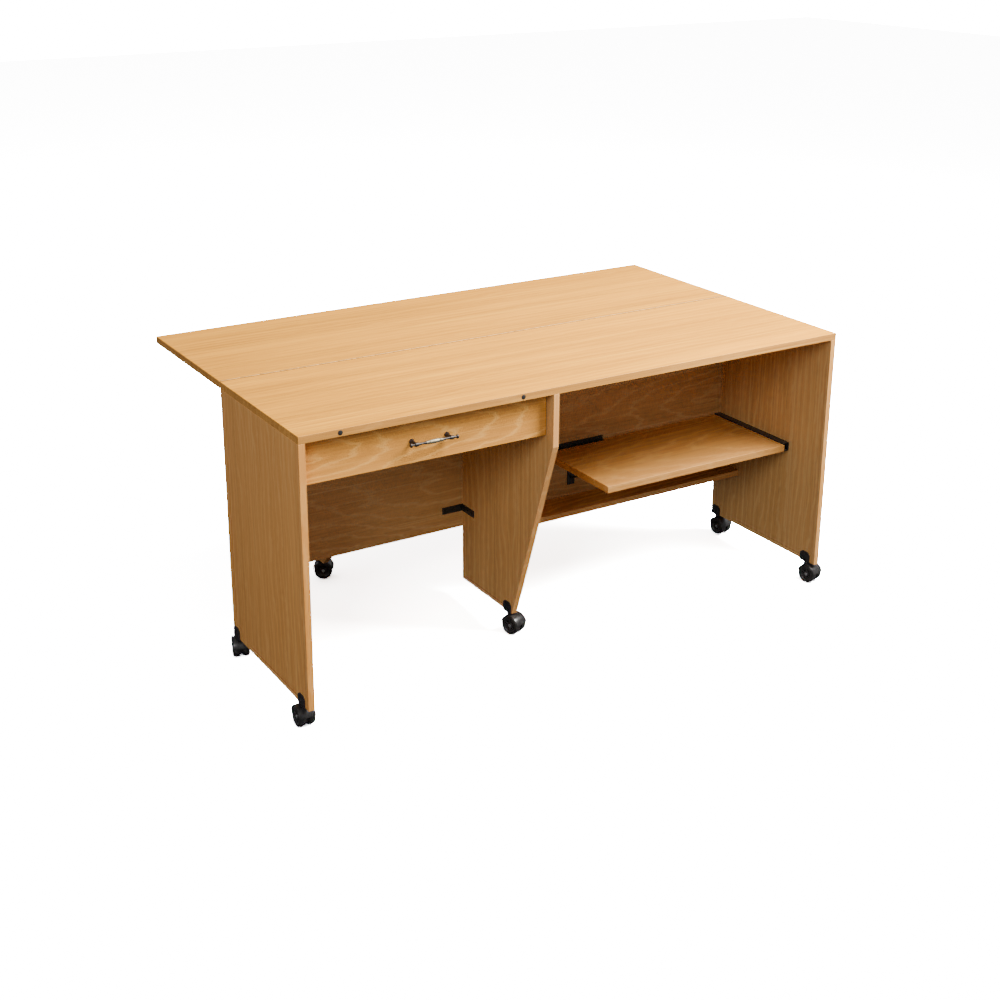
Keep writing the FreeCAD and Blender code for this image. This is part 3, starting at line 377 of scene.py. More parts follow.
def use_group(tree, maker, values):
    """Outputs of a shared shader group in a material; the group is made at its first use."""
    if maker not in GROUPS:
        GROUPS[maker] = maker()
    return add_node(tree, "ShaderNodeGroup", values, node_tree=GROUPS[maker]).outputs


def empty_material(name):
    material = bpy.data.materials.new(name)
    material.use_nodes = True
    material.node_tree.nodes.clear()
    return material, material.node_tree


def start_material(name):
    """New material, its node tree, its Principled shader and its texture coordinates."""
    material, tree = empty_material(name)
    shader = add_node(tree, "ShaderNodeBsdfPrincipled")
    add_node(tree, "ShaderNodeOutputMaterial", {"Surface": shader.outputs[0]})
    return material, tree, shader, add_node(tree, "ShaderNodeTexCoord").outputs


def dress(tree, shader, color, roughness, height, relief, values=None):
    """Feed a surface to its Principled shader, the height through a Bump node."""
    bump = add_node(tree, "ShaderNodeBump", {"Height": height, "Distance": relief,
                                             "Strength": BUMP_STRENGTH})
    feed(tree, shader, {"Base Color": color, "Roughness": roughness, "Normal": bump.outputs[0]})
    feed(tree, shader, values or {})


def oak(name, grain, thickness, centre, strength=0.25, painted_light_tint=(1, 1, 1), line=1.12, size=1.0,
        depth=1.0, painted_light_band=(1, 1, 1)):
    """Oak laminate: grain is X or Z, thickness the axis across the board, centre the arches'."""
    wood = settings("wood")
    material, tree, shader, place = start_material(name)
    turn = Matrix.Rotation(math.radians(90 if grain == "Z" else 0), 3, "Y")
    mapping = add_node(tree, "ShaderNodeMapping",
                       {"Vector": place["Object"], "Location": turn @ -Vector(centre),
                        "Rotation": turn.to_euler()})
    tones = (("Light Tone", wood.light_tone, 1.0), ("Dark Tone", wood.dark_tone, depth),
             ("Pale Tone", wood.pale_tone, 1.0))
    # Each board's multiplier paints its light and shade into the tones: yellower on the sunlit top
    # and leaf, duller on the shaded uprights and back, darker on the shelf.
    values = {label: rgba([a * b for a, b in zip(tone, painted_light_tint)], shade)
              for label, tone, shade in tones}
    values.update({"Vector": mapping.outputs[0], "Figure Size": size * wood.figure_size,
                   "Figure Strength": strength})
    figure = use_group(tree, oak_figure_group, values)
    # line sets how strongly the rounded edges are lightened, a painted highlight; the narrow faces
    # take their own painted light and shade.
    edges = use_group(tree, board_edge_group, {
        "Normal": place["Normal"], "Color": figure["Color"], "Thickness Axis": thickness,
        "Line Lift": line, "Band Tint": painted_light_band})
    dress(tree, shader, edges["Color"], figure["Roughness"], figure["Height"], wood.pore_depth,
          {"Specular IOR Level": 0.30})
    return material


def worn(name, base, rubbed, roughness, metallic=0.0, amount=0.3, skin=1500.0, relief=0.00004,
         coat=0.0):
    """Metal, paint or plastic with a fine skin and rubbed spots."""
    material, tree, shader, place = start_material(name)
    wear = use_group(tree, surface_wear_group, {
        "Vector": place["Object"], "Base": rgba(base), "Rubbed": rgba(rubbed), "Amount": amount,
        "Skin Scale": skin, "Roughness": roughness})
    dress(tree, shader, wear["Color"], wear["Roughness"], wear["Height"], relief,
          {"Metallic": metallic, "Coat Weight": coat})
    return material


def raw_wood(name, tone, waves):
    """Plain wood of dowels and drawer boards: soft streaks on one pale tone."""
    material, tree, shader, place = start_material(name)
    grain = noise(tree, scaled(tree, place["Object"], waves), 1.0, 4.0, 0.6)
    color = mix_colors(tree, spread(tree, grain, 0.35, 0.7), rgba(tone), rgba(tone, 0.72))
    dress(tree, shader, color, spread(tree, grain, 0.2, 0.8, 0.45, 0.65), grain, 0.0001)
    return material


def finish(name):
    """The named material, made the first time that it is asked for."""
    if name not in FINISHES:
        FINISHES[name] = MAKERS[name](name)
    return FINISHES[name]


ACROSS_X = (1, 0, 0)
ACROSS_Y = (0, 1, 0)
ACROSS_Z = (0, 0, 1)
# Painted light and shade: the same laminate made yellower on the sunlit top and leaf and duller on
# shaded boards. SUNNY_BAND turns the top's narrow faces back from the sunlit yellow.
SUNNY = (1.06, 0.93, 0.15)
SUNNY_BAND = (0.90, 0.98, 4.5)
SHADED = (0.84, 0.98, 1.20)

# Each board's own multipliers paint light and shade: the drawer front made yellower, the shelf
# darker, the uprights' narrow faces lighter and warmer.
MAKERS = {
    "top oak": lambda name: oak(name, "X", ACROSS_Z, (0.9, -0.9, 0.7), 0.15, SUNNY, 1.0,
                                depth=0.62, painted_light_band=SUNNY_BAND),
    "leaf oak": lambda name: oak(name, "X", ACROSS_Z, (-1.6, 1.3, 0.7), 0.15, SUNNY, 1.0,
                                 depth=0.62, painted_light_band=SUNNY_BAND),
    "left upright oak": lambda name: oak(name, "Z", ACROSS_X, (-0.7, -0.8, 1.4),
                                         painted_light_band=(1.06, 0.98, 0.78)),
    "centre upright oak": lambda name: oak(name, "Z", ACROSS_X, (0.0, 0.5, -0.8),
                                           painted_light_tint=SHADED, painted_light_band=(1.22, 1.05, 0.9)),
    "right upright oak": lambda name: oak(name, "Z", ACROSS_X, (0.7, 0.7, 1.5),
                                          painted_light_tint=SHADED, painted_light_band=(1.15, 1.0, 0.8)),
    "gate oak": lambda name: oak(name, "Z", ACROSS_X, (-0.4, 0.9, -0.5)),
    "back oak": lambda name: oak(name, "X", ACROSS_Y, (1.1, 0.0, 0.43), 0.30, SHADED),
    "drawer front oak": lambda name: oak(name, "X", ACROSS_Y, (-0.98, -0.4, 0.655), 0.50,
                                         (1.10, 1.02, 0.66), size=0.7, depth=0.84),
    "shelf oak": lambda name: oak(name, "X", ACROSS_Z, (1.5, -0.2, 0.36),
                                  painted_light_tint=(0.85, 0.85, 0.75)),
    "rear board oak": lambda name: oak(name, "X", ACROSS_Z, (-0.9, 0.2, 0.21)),
    "drawer birch": lambda name: raw_wood(name, (0.66, 0.50, 0.31), (3.0, 3.0, 160.0)),
    "dowel beech": lambda name: raw_wood(name, (0.62, 0.43, 0.24), (40.0, 40.0, 40.0)),
    "hardboard": lambda name: worn(name, (0.70, 0.64, 0.53), (0.55, 0.47, 0.36), 0.5,
                                   amount=0.4, skin=900.0),
    "oak cap": lambda name: worn(name, (0.52, 0.31, 0.15), (0.42, 0.24, 0.11), 0.42, skin=700.0),
    "cast zinc": lambda name: worn(name, (0.50, 0.50, 0.51), (0.32, 0.32, 0.33), 0.42, 1.0),
    "black paint": lambda name: worn(name, settings("hardware").black, (0.05, 0.048, 0.045), 0.36,
                                     amount=0.35, skin=1800.0, relief=0.00006),
    "black plastic": lambda name: worn(name, (0.012, 0.011, 0.010), (0.04, 0.04, 0.04), 0.45),
    "plated steel": lambda name: worn(name, settings("hardware").plated, (0.36, 0.34, 0.31), 0.30,
                                      1.0, 0.4, 2200.0, 0.00002),
    "brass": lambda name: worn(name, settings("hardware").brass, (0.28, 0.15, 0.05), 0.58, 1.0,
                               0.5, 1900.0, 0.00003),
    "caster nylon": lambda name: worn(name, settings("casters").nylon, (0.055, 0.053, 0.05), 0.24,
                                      amount=0.30, skin=1300.0, relief=0.00003, coat=0.25),
    "caster tread": lambda name: worn(name, settings("casters").nylon, (0.10, 0.095, 0.088), 0.38,
                                      amount=0.45, skin=900.0, relief=0.00008),
    "axle steel": lambda name: worn(name, settings("casters").bolt_steel, (0.25, 0.25, 0.25), 0.30,
                                    1.0, 0.4),
    "dark metal": lambda name: worn(name, settings("handle").dark, (0.12, 0.10, 0.085), 0.42, 0.85,
                                    0.45, 1600.0, 0.00003),
    "pewter": lambda name: worn(name, settings("handle").pewter, (0.15, 0.125, 0.085), 0.48, 1.0,
                                0.5, 1400.0, 0.00004),
    "white nylon": lambda name: worn(name, (0.74, 0.73, 0.70), (0.55, 0.53, 0.48), 0.42,
                                     amount=0.3, skin=1200.0),
}


# ---- mesh helpers

WELD = 1e-6
ON_AXIS = 1e-7
NEARLY_STRAIGHT = math.radians(175)
LONGEST_CUT = 0.48
SMOOTH_ANGLE = math.radians(32.0)
BEVEL_ANGLE = math.radians(30.0)
BEVEL_SEGMENTS = 2
FLAT_ANGLE = math.radians(1.0)


def place_matrix(origin, along):
    """Matrix whose X axis runs along an axis of the frame, for shapes turned about X."""
    x = Vector(along).normalized()
    side = Y_AXIS if x.z else Z_AXIS
    y = side.cross(x).normalized()
    matrix = Matrix((x, y, x.cross(y))).transposed().to_4x4()
    matrix.translation = Vector(origin)
    return matrix


def rounded(points, radius, steps=4, closed=False):
    """Outline with each inner corner replaced by an arc of up to the given radius."""
    points = [Vector(p) for p in points]
    count = len(points)
    result = []
    for i, corner in enumerate(points):
        if not closed and i in (0, count - 1):
            result.append(corner)
            continue
        before = points[i - 1] - corner
        after = points[(i + 1) % count] - corner
        angle = before.angle(after)
        if angle > NEARLY_STRAIGHT:
            result.append(corner)
            continue
        cut = min(radius / math.tan(angle / 2), before.length * LONGEST_CUT,
                  after.length * LONGEST_CUT)
        first = corner + before.normalized() * cut
        last = corner + after.normalized() * cut
        for step in range(steps + 1):
            t = step / steps
            result.append(first * (1 - t) ** 2 + corner * (2 * t * (1 - t)) + last * t ** 2)
    return result


def revolve(bm, profile, matrix, segments, loop=False):
    """Turn (along, radius) points about X; loop=True joins the last point to the first."""
    rings = []
    for along, radius in profile:
        if radius < ON_AXIS:
            rings.append([bm.verts.new(matrix @ Vector((along, 0, 0)))])
            continue
        angles = [2 * math.pi * i / segments for i in range(segments)]
        rings.append([bm.verts.new(matrix @ Vector((along, radius * math.cos(a),
                                                    radius * math.sin(a)))) for a in angles])
    pairs = list(zip(rings, rings[1:]))
    if loop:
        pairs.append((rings[-1], rings[0]))
    for first, second in pairs:
        for i in range(segments):
            j = (i + 1) % segments
            corners = [first[i % len(first)], first[j % len(first)],
                       second[j % len(second)], second[i % len(second)]]
            unique = list(dict.fromkeys(corners))
            if len(unique) > 2:
                bm.faces.new(unique)


def extrude_outline(bm, outline, depth, matrix):
    """Prism of a closed (y, z) outline, from X = 0 to depth."""
    near = [bm.verts.new(matrix @ Vector((0, y, z))) for y, z in outline]
    far = [bm.verts.new(matrix @ Vector((depth, y, z))) for y, z in outline]
    bm.faces.new(near)
    bm.faces.new(far[::-1])
    for i in range(len(outline)):
        j = (i + 1) % len(outline)
        bm.faces.new((near[i], far[i], far[j], near[j]))


def sweep_arc(bm, section, start, matrix, steps):
    """Closed (along, radius) section carried round X, from start to 180 - start degrees."""
    start = math.radians(start)
    end = math.pi - start
    rings = []
    for step in range(steps + 1):
        angle = start + (end - start) * step / steps
        rings.append([bm.verts.new(matrix @ Vector((x, r * math.cos(angle), r * math.sin(angle))))
                      for x, r in section])
    for first, second in zip(rings, rings[1:]):
        for i in range(len(section)):
            j = (i + 1) % len(section)
            bm.faces.new((first[i], first[j], second[j], second[i]))
    bm.faces.new(rings[0])
    bm.faces.new(rings[-1][::-1])


def both_ways(half):
    """Profile from one end to the other, from the points of its +X half, the end first."""
    return [(-x, r) for x, r in half] + half[::-1]


def rectangle(x0, x1, y0, y1):
    return [(x0, y0), (x1, y0), (x1, y1), (x0, y1)]


def to_object(bm, name, material):
    """Object from a bmesh, faces outwards, smooth except at sharp edges."""
    bmesh.ops.recalc_face_normals(bm, faces=bm.faces)
    mesh = bpy.data.meshes.new(name)
    bm.to_mesh(mesh)
    bm.free()
    mesh.shade_smooth()
    mesh.set_sharp_from_angle(angle=SMOOTH_ANGLE)
    mesh.materials.append(finish(material))
    return link(name, mesh)


def link(name, data):
    """New object in the scene."""
    obj = bpy.data.objects.new(name, data)
    bpy.context.scene.collection.objects.link(obj)
    return obj


def bevelled(obj, width):
    """Live bevel on the sharp edges of a finished piece."""
    bevel = obj.modifiers.new("edge rounding", "BEVEL")
    bevel.width = width
    bevel.segments = BEVEL_SEGMENTS
    bevel.limit_method = "ANGLE"
    bevel.angle_limit = BEVEL_ANGLE
    bevel.harden_normals = False
    return obj


def to_plain_mesh(obj):
    """Evaluate a helper's modifiers into a plain mesh and drop them."""
    graph = bpy.context.evaluated_depsgraph_get()
    mesh = bpy.data.meshes.new_from_object(obj.evaluated_get(graph))
    obj.modifiers.clear()
    obj.data = mesh
    mesh.name = obj.name
    mesh.set_sharp_from_angle(angle=SMOOTH_ANGLE)


def attach(obj, body, slot, *replaced):
    """Let a finished piece ride on a body and stand for CAD nodes; slot is not used."""
    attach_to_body(obj, body)
    if replaced:
        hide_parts(*replaced)


def add_piece(bm, name, material, body, slot, *replaced):
    """Finished piece from a bmesh, on its body."""
    attach(to_object(bm, name, material), body, slot, *replaced)


def welded(node):
    """Bmesh of a CAD node with its loose triangles joined."""
    bm = bmesh.new()
    bm.from_mesh(frame["nodes"][node].data)
    bmesh.ops.remove_doubles(bm, verts=bm.verts, dist=WELD)
    return bm


def islands(node):
    """Corner points of each separate solid in a node."""
    bm = welded(node)
    seen = set()
    result = []
    for first in bm.verts:
        if first in seen:
            continue
        group = []
        waiting = [first]
        seen.add(first)
        while waiting:
            vert = waiting.pop()
            group.append(vert.co.copy())
            for edge in vert.link_edges:
                other = edge.other_vert(vert)
                if other not in seen:
                    seen.add(other)
                    waiting.append(other)
        result.append(group)
    bm.free()
    return result


def box_of(points):
    """Lowest and highest corner of some points."""
    low = Vector([min(p[i] for p in points) for i in range(3)])
    high = Vector([max(p[i] for p in points) for i in range(3)])
    return low, high


def soft_copy(node, name, material, width):
    """Copy of a flat-sided node with merged faces and rounded edges."""
    bm = welded(node)
    bmesh.ops.dissolve_limit(bm, angle_limit=FLAT_ANGLE, verts=bm.verts, edges=bm.edges)
    return bevelled(to_object(bm, name, material), width)


# ---- boards and plain parts keep their CAD shape

NODE_FINISHES = {
    "tabletop": "top oak",
    "leaf": "leaf oak",
    "left_panel": "left upright oak",
    "centre_panel": "centre upright oak",
    "right_panel": "right upright oak",
    "gate_leg": "gate oak",
    "back_panel": "back oak",
    "rear_board": "rear board oak",
    "machine_shelf": "shelf oak",
    "drawer_front": "drawer front oak",
    "drawer_side_left": "drawer birch",
    "drawer_side_right": "drawer birch",
    "drawer_back": "drawer birch",
    "drawer_bottom": "hardboard",
    "dowels": "dowel beech",
    "drawer_dowels": "dowel beech",
    "cam_fittings": "cast zinc",
    "cabinet_runners": "plated steel",
    "drawer_runners": "plated steel",
    "drawer_glides": "white nylon",
    "seam_hinge_pin": "brass",
    "gate_hinge_pins": "brass",
    "gate_hinge_plates_fixed": "brass",
    "gate_hinge_plates_moving": "brass",
}


def set_finish(node, material):
    mesh = frame["nodes"][node].data
    for index in range(len(mesh.materials)):
        mesh.materials[index] = finish(material)


class SEWING_OT_boards(bpy.types.Operator):
    """Give the boards, dowels, runners and other plain CAD parts their finishes"""
    bl_idname = "sewing_table.boards"
    bl_label = "Finish Boards"

    def execute(self, context):
        for node, material in NODE_FINISHES.items():
            set_finish(node, material)
        return {"FINISHED"}


class SEWING_OT_steel(bpy.types.Operator):
    """Round the edges of the black steel angles, brackets and rail"""
    bl_idname = "sewing_table.steel"
    bl_label = "Steel Angles and Brackets"

    def execute(self, context):
        width = settings("hardware").edge_round
        # The black shelf angle fills the dark strip behind the shelf, which is largely shadow, and
        # the rail darkens the shelf's right end, also largely shadow: their black is partly painted
        # shade.
        for node in ("corner_braces", "shelf_angle", "shelf_brackets", "shelf_rail"):
            piece = soft_copy(node, node + "_painted", "black paint", width)
            attach(piece, "frame", "black_steel", node)
        return {"FINISHED"}


# ---- hinges

def knuckle_object(length, side):
    """One rolled knuckle about X, with the short strap that joins it to its plate."""
    bm = bmesh.new()
    half = length / 2
    radius = KNUCKLE_RADIUS
    profile = rounded(both_ways([(half, PIN_BORE), (half, radius)]), radius * KNUCKLE_ROUND, 3,
                      closed=True)
    revolve(bm, profile, Matrix.Identity(4), 28, loop=True)
    outer = side * SEAM_HALF_GAP
    inner = side * (SEAM_HALF_GAP - HINGE_PLATE)
    outline = rectangle(min(outer, inner), max(outer, inner), -radius - STRAP_DROP, -PIN_BORE)
    extrude_outline(bm, outline, length, Matrix.Translation((-half, 0, 0)))
    return to_object(bm, "knuckle", "brass")


def knuckle_row_tree():
    """Geometry Nodes: one knuckle repeated along a line."""
    tree, inputs = new_tree("Knuckle Row", "GeometryNodeTree", [
        ("Geometry", "Geometry", None),
        ("Count", "Int", 10),
        ("Start", "Vector", (0, 0, 0)),
        ("Step", "Vector", (0.1, 0, 0)),
        ("Knuckle", "Object", None),
        ("Finish", "Material", None)], [("Geometry", "Geometry")])
    line = add_node(tree, "GeometryNodeMeshLine", {"Count": inputs["Count"],
                    "Start Location": inputs["Start"], "Offset": inputs["Step"]}, mode="OFFSET")
    shape = add_node(tree, "GeometryNodeObjectInfo", {"Object": inputs["Knuckle"]})
    copies = add_node(tree, "GeometryNodeInstanceOnPoints",
                      {"Points": line.outputs[0], "Instance": shape.outputs["Geometry"]})
    return end_tree(tree, inputs, copies.outputs[0], inputs["Geometry"])


def end_tree(tree, inputs, *parts):
    """Join the parts, realize the instances and set the material."""
    join = add_node(tree, "GeometryNodeJoinGeometry")
    for part in parts:
        tree.links.new(part, join.inputs[0])
    real = add_node(tree, "GeometryNodeRealizeInstances", {0: join.outputs[0]})
    skin = add_node(tree, "GeometryNodeSetMaterial",
                    {"Geometry": real.outputs[0], "Material": inputs["Finish"]})
    add_node(tree, "NodeGroupOutput", {0: skin.outputs[0]})
    return tree


def run_tree(obj, tree, values):
    """Give an object a node tree, set its inputs by identifier and make the result plain."""
    modifier = obj.modifiers.new(tree.name, "NODES")
    modifier.node_group = tree
    for item in tree.interface.items_tree:
        if item.item_type == "SOCKET" and item.in_out == "INPUT" and item.name in values:
            modifier[item.identifier] = values[item.name]
    obj.update_tag()
    bpy.context.view_layer.update()
    to_plain_mesh(obj)


def drop(obj):
    """Remove a helper object."""
    mesh = obj.data
    bpy.data.objects.remove(obj)
    bpy.data.meshes.remove(mesh)


KNUCKLE_COUNT = 30
HINGE_PLATE = 0.0011
SEAM_HALF_GAP = 0.0015
PIN_BORE = 0.00095
RUNNING_GAP = 0.0003
KNUCKLE_ROUND = 0.18
STRAP_DROP = 0.0004


class SEWING_OT_seam_hinge(bpy.types.Operator):
    """Continuous hinge in the seam: plates and rolled knuckles by turns"""
    bl_idname = "sewing_table.seam_hinge"
    bl_label = "Seam Hinge"

    def execute(self, context):
        low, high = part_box("seam_hinge_plate_fixed")
        pitch = (high.x - low.x) / KNUCKLE_COUNT
        tree = knuckle_row_tree()
        rows = (("fixed", -1, 0, "frame"), ("leaf", 1, 1, "leaf"))
        for name, side, first, body in rows:
            node = "seam_hinge_plate_" + name
            knuckle = knuckle_object(pitch - RUNNING_GAP, side)
            plate = self.make_plate(node, side)
            start = Vector((low.x + pitch * (first + 0.5), SEAM_AXIS.y, SEAM_AXIS.z))
            run_tree(plate, tree, {"Count": KNUCKLE_COUNT // 2, "Start": start,
                                   "Step": Vector((2 * pitch, 0, 0)), "Knuckle": knuckle,
                                   "Finish": finish("brass")})
            drop(knuckle)
            attach(plate, body, "brass", node)
        return {"FINISHED"}

    def make_plate(self, node, side):
        low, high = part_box(node)
        outer = SEAM_AXIS.y + side * SEAM_HALF_GAP
        inner = outer - side * HINGE_PLATE
        top = SEAM_AXIS.z - KNUCKLE_RADIUS - RUNNING_GAP
        outline = rectangle(min(outer, inner), max(outer, inner), low.z, top)
        bm = bmesh.new()
        extrude_outline(bm, outline, high.x - low.x, Matrix.Translation((low.x, 0, 0)))
        return to_object(bm, node + "_rolled", "brass")


# ---- screws

PAN_RISE = 0.0016
FLUSH_RISE = 0.0001
PAN_RADIUS = 0.0034
FLUSH_RADIUS = 0.0028
HEAD_SUNK = 0.0006
CROSS_SPAN = 0.62
CROSS_SLOT = 0.2
CROSS_DEPTH = 0.0009
CROSS_CUTTER = 0.003
HEAD_REACH = 0.0012
HANDLE_SCREW = 0.02


def screw_head_object(name, radius, rise):
    """Head about +X with a cross recess, its seat on X = 0."""
    bm = bmesh.new()
    dome = [(-HEAD_SUNK, 0.0), (-HEAD_SUNK, radius * 0.92), (0.0, radius),
            (rise * 0.45, radius * 0.96), (rise * 0.9, radius * 0.66), (rise, 0.0)]
    revolve(bm, rounded(dome, radius * 0.2, 3), Matrix.Identity(4), 24)
    head = to_object(bm, name, "plated steel")
    cutter = bmesh.new()
    arm = radius * CROSS_SPAN
    for turn in (0, math.pi / 2):
        matrix = Matrix.Translation((rise - CROSS_DEPTH, 0, 0)) @ Matrix.Rotation(turn, 4, "X")
        outline = rectangle(-arm, arm, -arm * CROSS_SLOT, arm * CROSS_SLOT)
        extrude_outline(cutter, outline, CROSS_CUTTER, matrix)
    cross = to_object(cutter, "cross", "plated steel")
    cut = head.modifiers.new("recess", "BOOLEAN")
    cut.operation = "DIFFERENCE"
    cut.solver = "EXACT"
    cut.use_self = True
    cut.object = cross
    to_plain_mesh(head)
    drop(cross)
    return head


def screw_tree():
    """Geometry Nodes: a head on each point, facing the point's own direction."""
    tree, inputs = new_tree("Screw Heads", "GeometryNodeTree", [
        ("Geometry", "Geometry", None),
        ("Head", "Object", None),
        ("Seed", "Int", 3),
        ("Finish", "Material", None)], [("Geometry", "Geometry")])
    facing = add_node(tree, "GeometryNodeInputNamedAttribute", {"Name": "facing"},
                      data_type="FLOAT_VECTOR")
    aim = add_node(tree, "FunctionNodeAlignRotationToVector",
                   {"Vector": facing.outputs[0]}, axis="X")
    spin = add_node(tree, "FunctionNodeRandomValue", {"Seed": inputs["Seed"], 2: 0.0, 3: math.pi},
                    data_type="FLOAT")
    about = add_node(tree, "FunctionNodeAxisAngleToRotation",
                     {"Axis": (1, 0, 0), "Angle": spin.outputs[1]})
    turned = add_node(tree, "FunctionNodeRotateRotation",
                      {"Rotation": aim.outputs[0], "Rotate By": about.outputs[0]},
                      rotation_space="LOCAL")
    shape = add_node(tree, "GeometryNodeObjectInfo", {"Object": inputs["Head"]})
    copies = add_node(tree, "GeometryNodeInstanceOnPoints",
                      {"Points": inputs["Geometry"], "Instance": shape.outputs["Geometry"],
                       "Rotation": turned.outputs[0]})
    return end_tree(tree, inputs, copies.outputs[0])


def screw_seats(node):
    """For each screw of a node: the middle of its seat, and the way its head faces."""
    seats = []
    for points in islands(node):
        low, high = box_of(points)
        size = high - low
        axis = max(range(3), key=lambda i: size[i])
        along = Vector([float(i == axis) for i in range(3)])
        middle = (low + high) / 2
        low_width, high_width = [
            max((p - middle).cross(along).length for p in points if abs(p[axis] - end) < HEAD_REACH)
            for end in (low[axis], high[axis])]
        sign = 1 if high_width > low_width else -1
        seat = middle.copy()
        seat[axis] = (high if sign > 0 else low)[axis]
        seats.append((seat, along * sign))
    return seats


def points_object(name, seats):
    """Loose points with a facing direction each."""
    mesh = bpy.data.meshes.new(name)
    mesh.from_pydata([s for s, _ in seats], [], [])
    facing = mesh.attributes.new("facing", "FLOAT_VECTOR", "POINT")
    for item, (_, direction) in zip(facing.data, seats):
        item.vector = direction
    return link(name, mesh)


class SEWING_OT_screws(bpy.types.Operator):
    """Cross-head screws, one set for each body and head"""
    bl_idname = "sewing_table.screws"
    bl_label = "Screws"

    def execute(self, context):
        tree = screw_tree()
        pan = screw_head_object("pan head", PAN_RADIUS, PAN_RISE)
        flush = screw_head_object("flush head", FLUSH_RADIUS, FLUSH_RISE)
        rows = (("pan_screws", "frame", "black_screw", "black paint"),
                ("flush_screws", "frame", "screw_steel", "plated steel"),
                ("leaf_screws", "leaf", "screw_steel", "plated steel"),
                ("gate_screws", "gate", "screw_steel", "black paint"),
                ("drawer_screws", "drawer", "screw_steel", "plated steel"))
        for node, body, slot, material in rows:
            seats = screw_seats(node)
            raised = [s for s in seats if self.is_pan(node, s)]
            level = [s for s in seats if s not in raised]
            self.make_set(tree, node + "_heads", raised, pan, PAN_RISE, body, slot, material)
            self.make_set(tree, node + "_flush_heads", level, flush, FLUSH_RISE, body, slot,
                          material)
            set_finish(node, material)
        drop(pan)
        drop(flush)
        return {"FINISHED"}

    def is_pan(self, node, seat):
        """Pan heads hold brackets, braces and the handle; hinges and runners have flush ones."""
        if node == "gate_screws":
            return seat[0].z < UPRIGHT_FOOT + BRACKET_SIZE.z
        if node == "drawer_screws":
            return seat[1].y != 0
        return node == "pan_screws"

    def make_set(self, tree, name, seats, head, rise, body, slot, material):
        if not seats:
            return
        lowered = [(seat - facing * rise, facing) for seat, facing in seats]
        points = points_object(name, lowered)
        run_tree(points, tree, {"Head": head, "Seed": len(seats), "Finish": finish(material)})
        attach(points, body, slot)


# ---- plugs and caps

TOUCHING = 0.0005


class SEWING_OT_plugs(bpy.types.Operator):
    """Domed black plugs in the top's front edge, cam caps, and the pad on the gate leg"""
    bl_idname = "sewing_table.plugs"
    bl_label = "Plugs and Caps"

    def execute(self, context):
        bm = bmesh.new()
        for points in islands("edge_plugs"):
            low, high = box_of(points)
            radius = (high.z - low.z) / 2
            depth = high.y - low.y
            dome = [(0.0, 0.0), (0.0, radius * 0.55), (0.0004, radius * 0.97),
                    (0.0016, radius), (depth, radius * 0.94), (depth, 0.0)]
            seat = place_matrix(((low.x + high.x) / 2, low.y, (low.z + high.z) / 2), Y_AXIS)
            revolve(bm, rounded(dome, 0.0006, 3), seat, 36)
        add_piece(bm, "edge_plug_domes", "black plastic", "frame", "black_plastic", "edge_plugs")
        self.make_caps()
        self.make_pad()
        return {"FINISHED"}

    def make_caps(self):
        bm = bmesh.new()
        for points in islands("cam_caps"):
            low, high = box_of(points)
            middle = (low + high) / 2
            radius = (high.z - low.z) / 2
            deep = high.x - low.x
            outward = 1 if self.board_is_left_of(low) else -1
            start = low.x if outward > 0 else high.x
            dome = [(0.0, 0.0), (0.0, radius), (deep * 0.5, radius), (deep, radius * 0.8),
                    (deep, 0)]
            seat = place_matrix((start, middle.y, middle.z), X_AXIS * outward)
            revolve(bm, rounded(dome, 0.0005, 3), seat, 36)
        add_piece(bm, "cam_cap_domes", "oak cap", "frame", "cap", "cam_caps")

    def board_is_left_of(self, low):
        """True if the cap stands on the right face of its board."""
        faces = [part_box(n)[1].x for n in ("left_panel", "centre_panel")]
        return any(abs(low.x - face) < TOUCHING for face in faces)

    def make_pad(self):
        low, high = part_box("gate_pad")
        radius = (high.x - low.x) / 2
        leg_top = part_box("gate_leg")[1].z
        peg = [(low.z, 0.0), (low.z, radius / 2), (leg_top, radius / 2), (leg_top, radius),
               (high.z - 0.0006, radius), (high.z, radius - 0.0012), (high.z, 0.0)]
        profile = rounded([(z - leg_top, r) for z, r in peg], 0.0008, 3)
        middle = (low + high) / 2
        bm = bmesh.new()
        revolve(bm, profile, place_matrix((middle.x, middle.y, leg_top), Z_AXIS), 40)
        add_piece(bm, "gate_pad_turned", "white nylon", "gate", "white_nylon", "gate_pad")


# ---- drawer handle

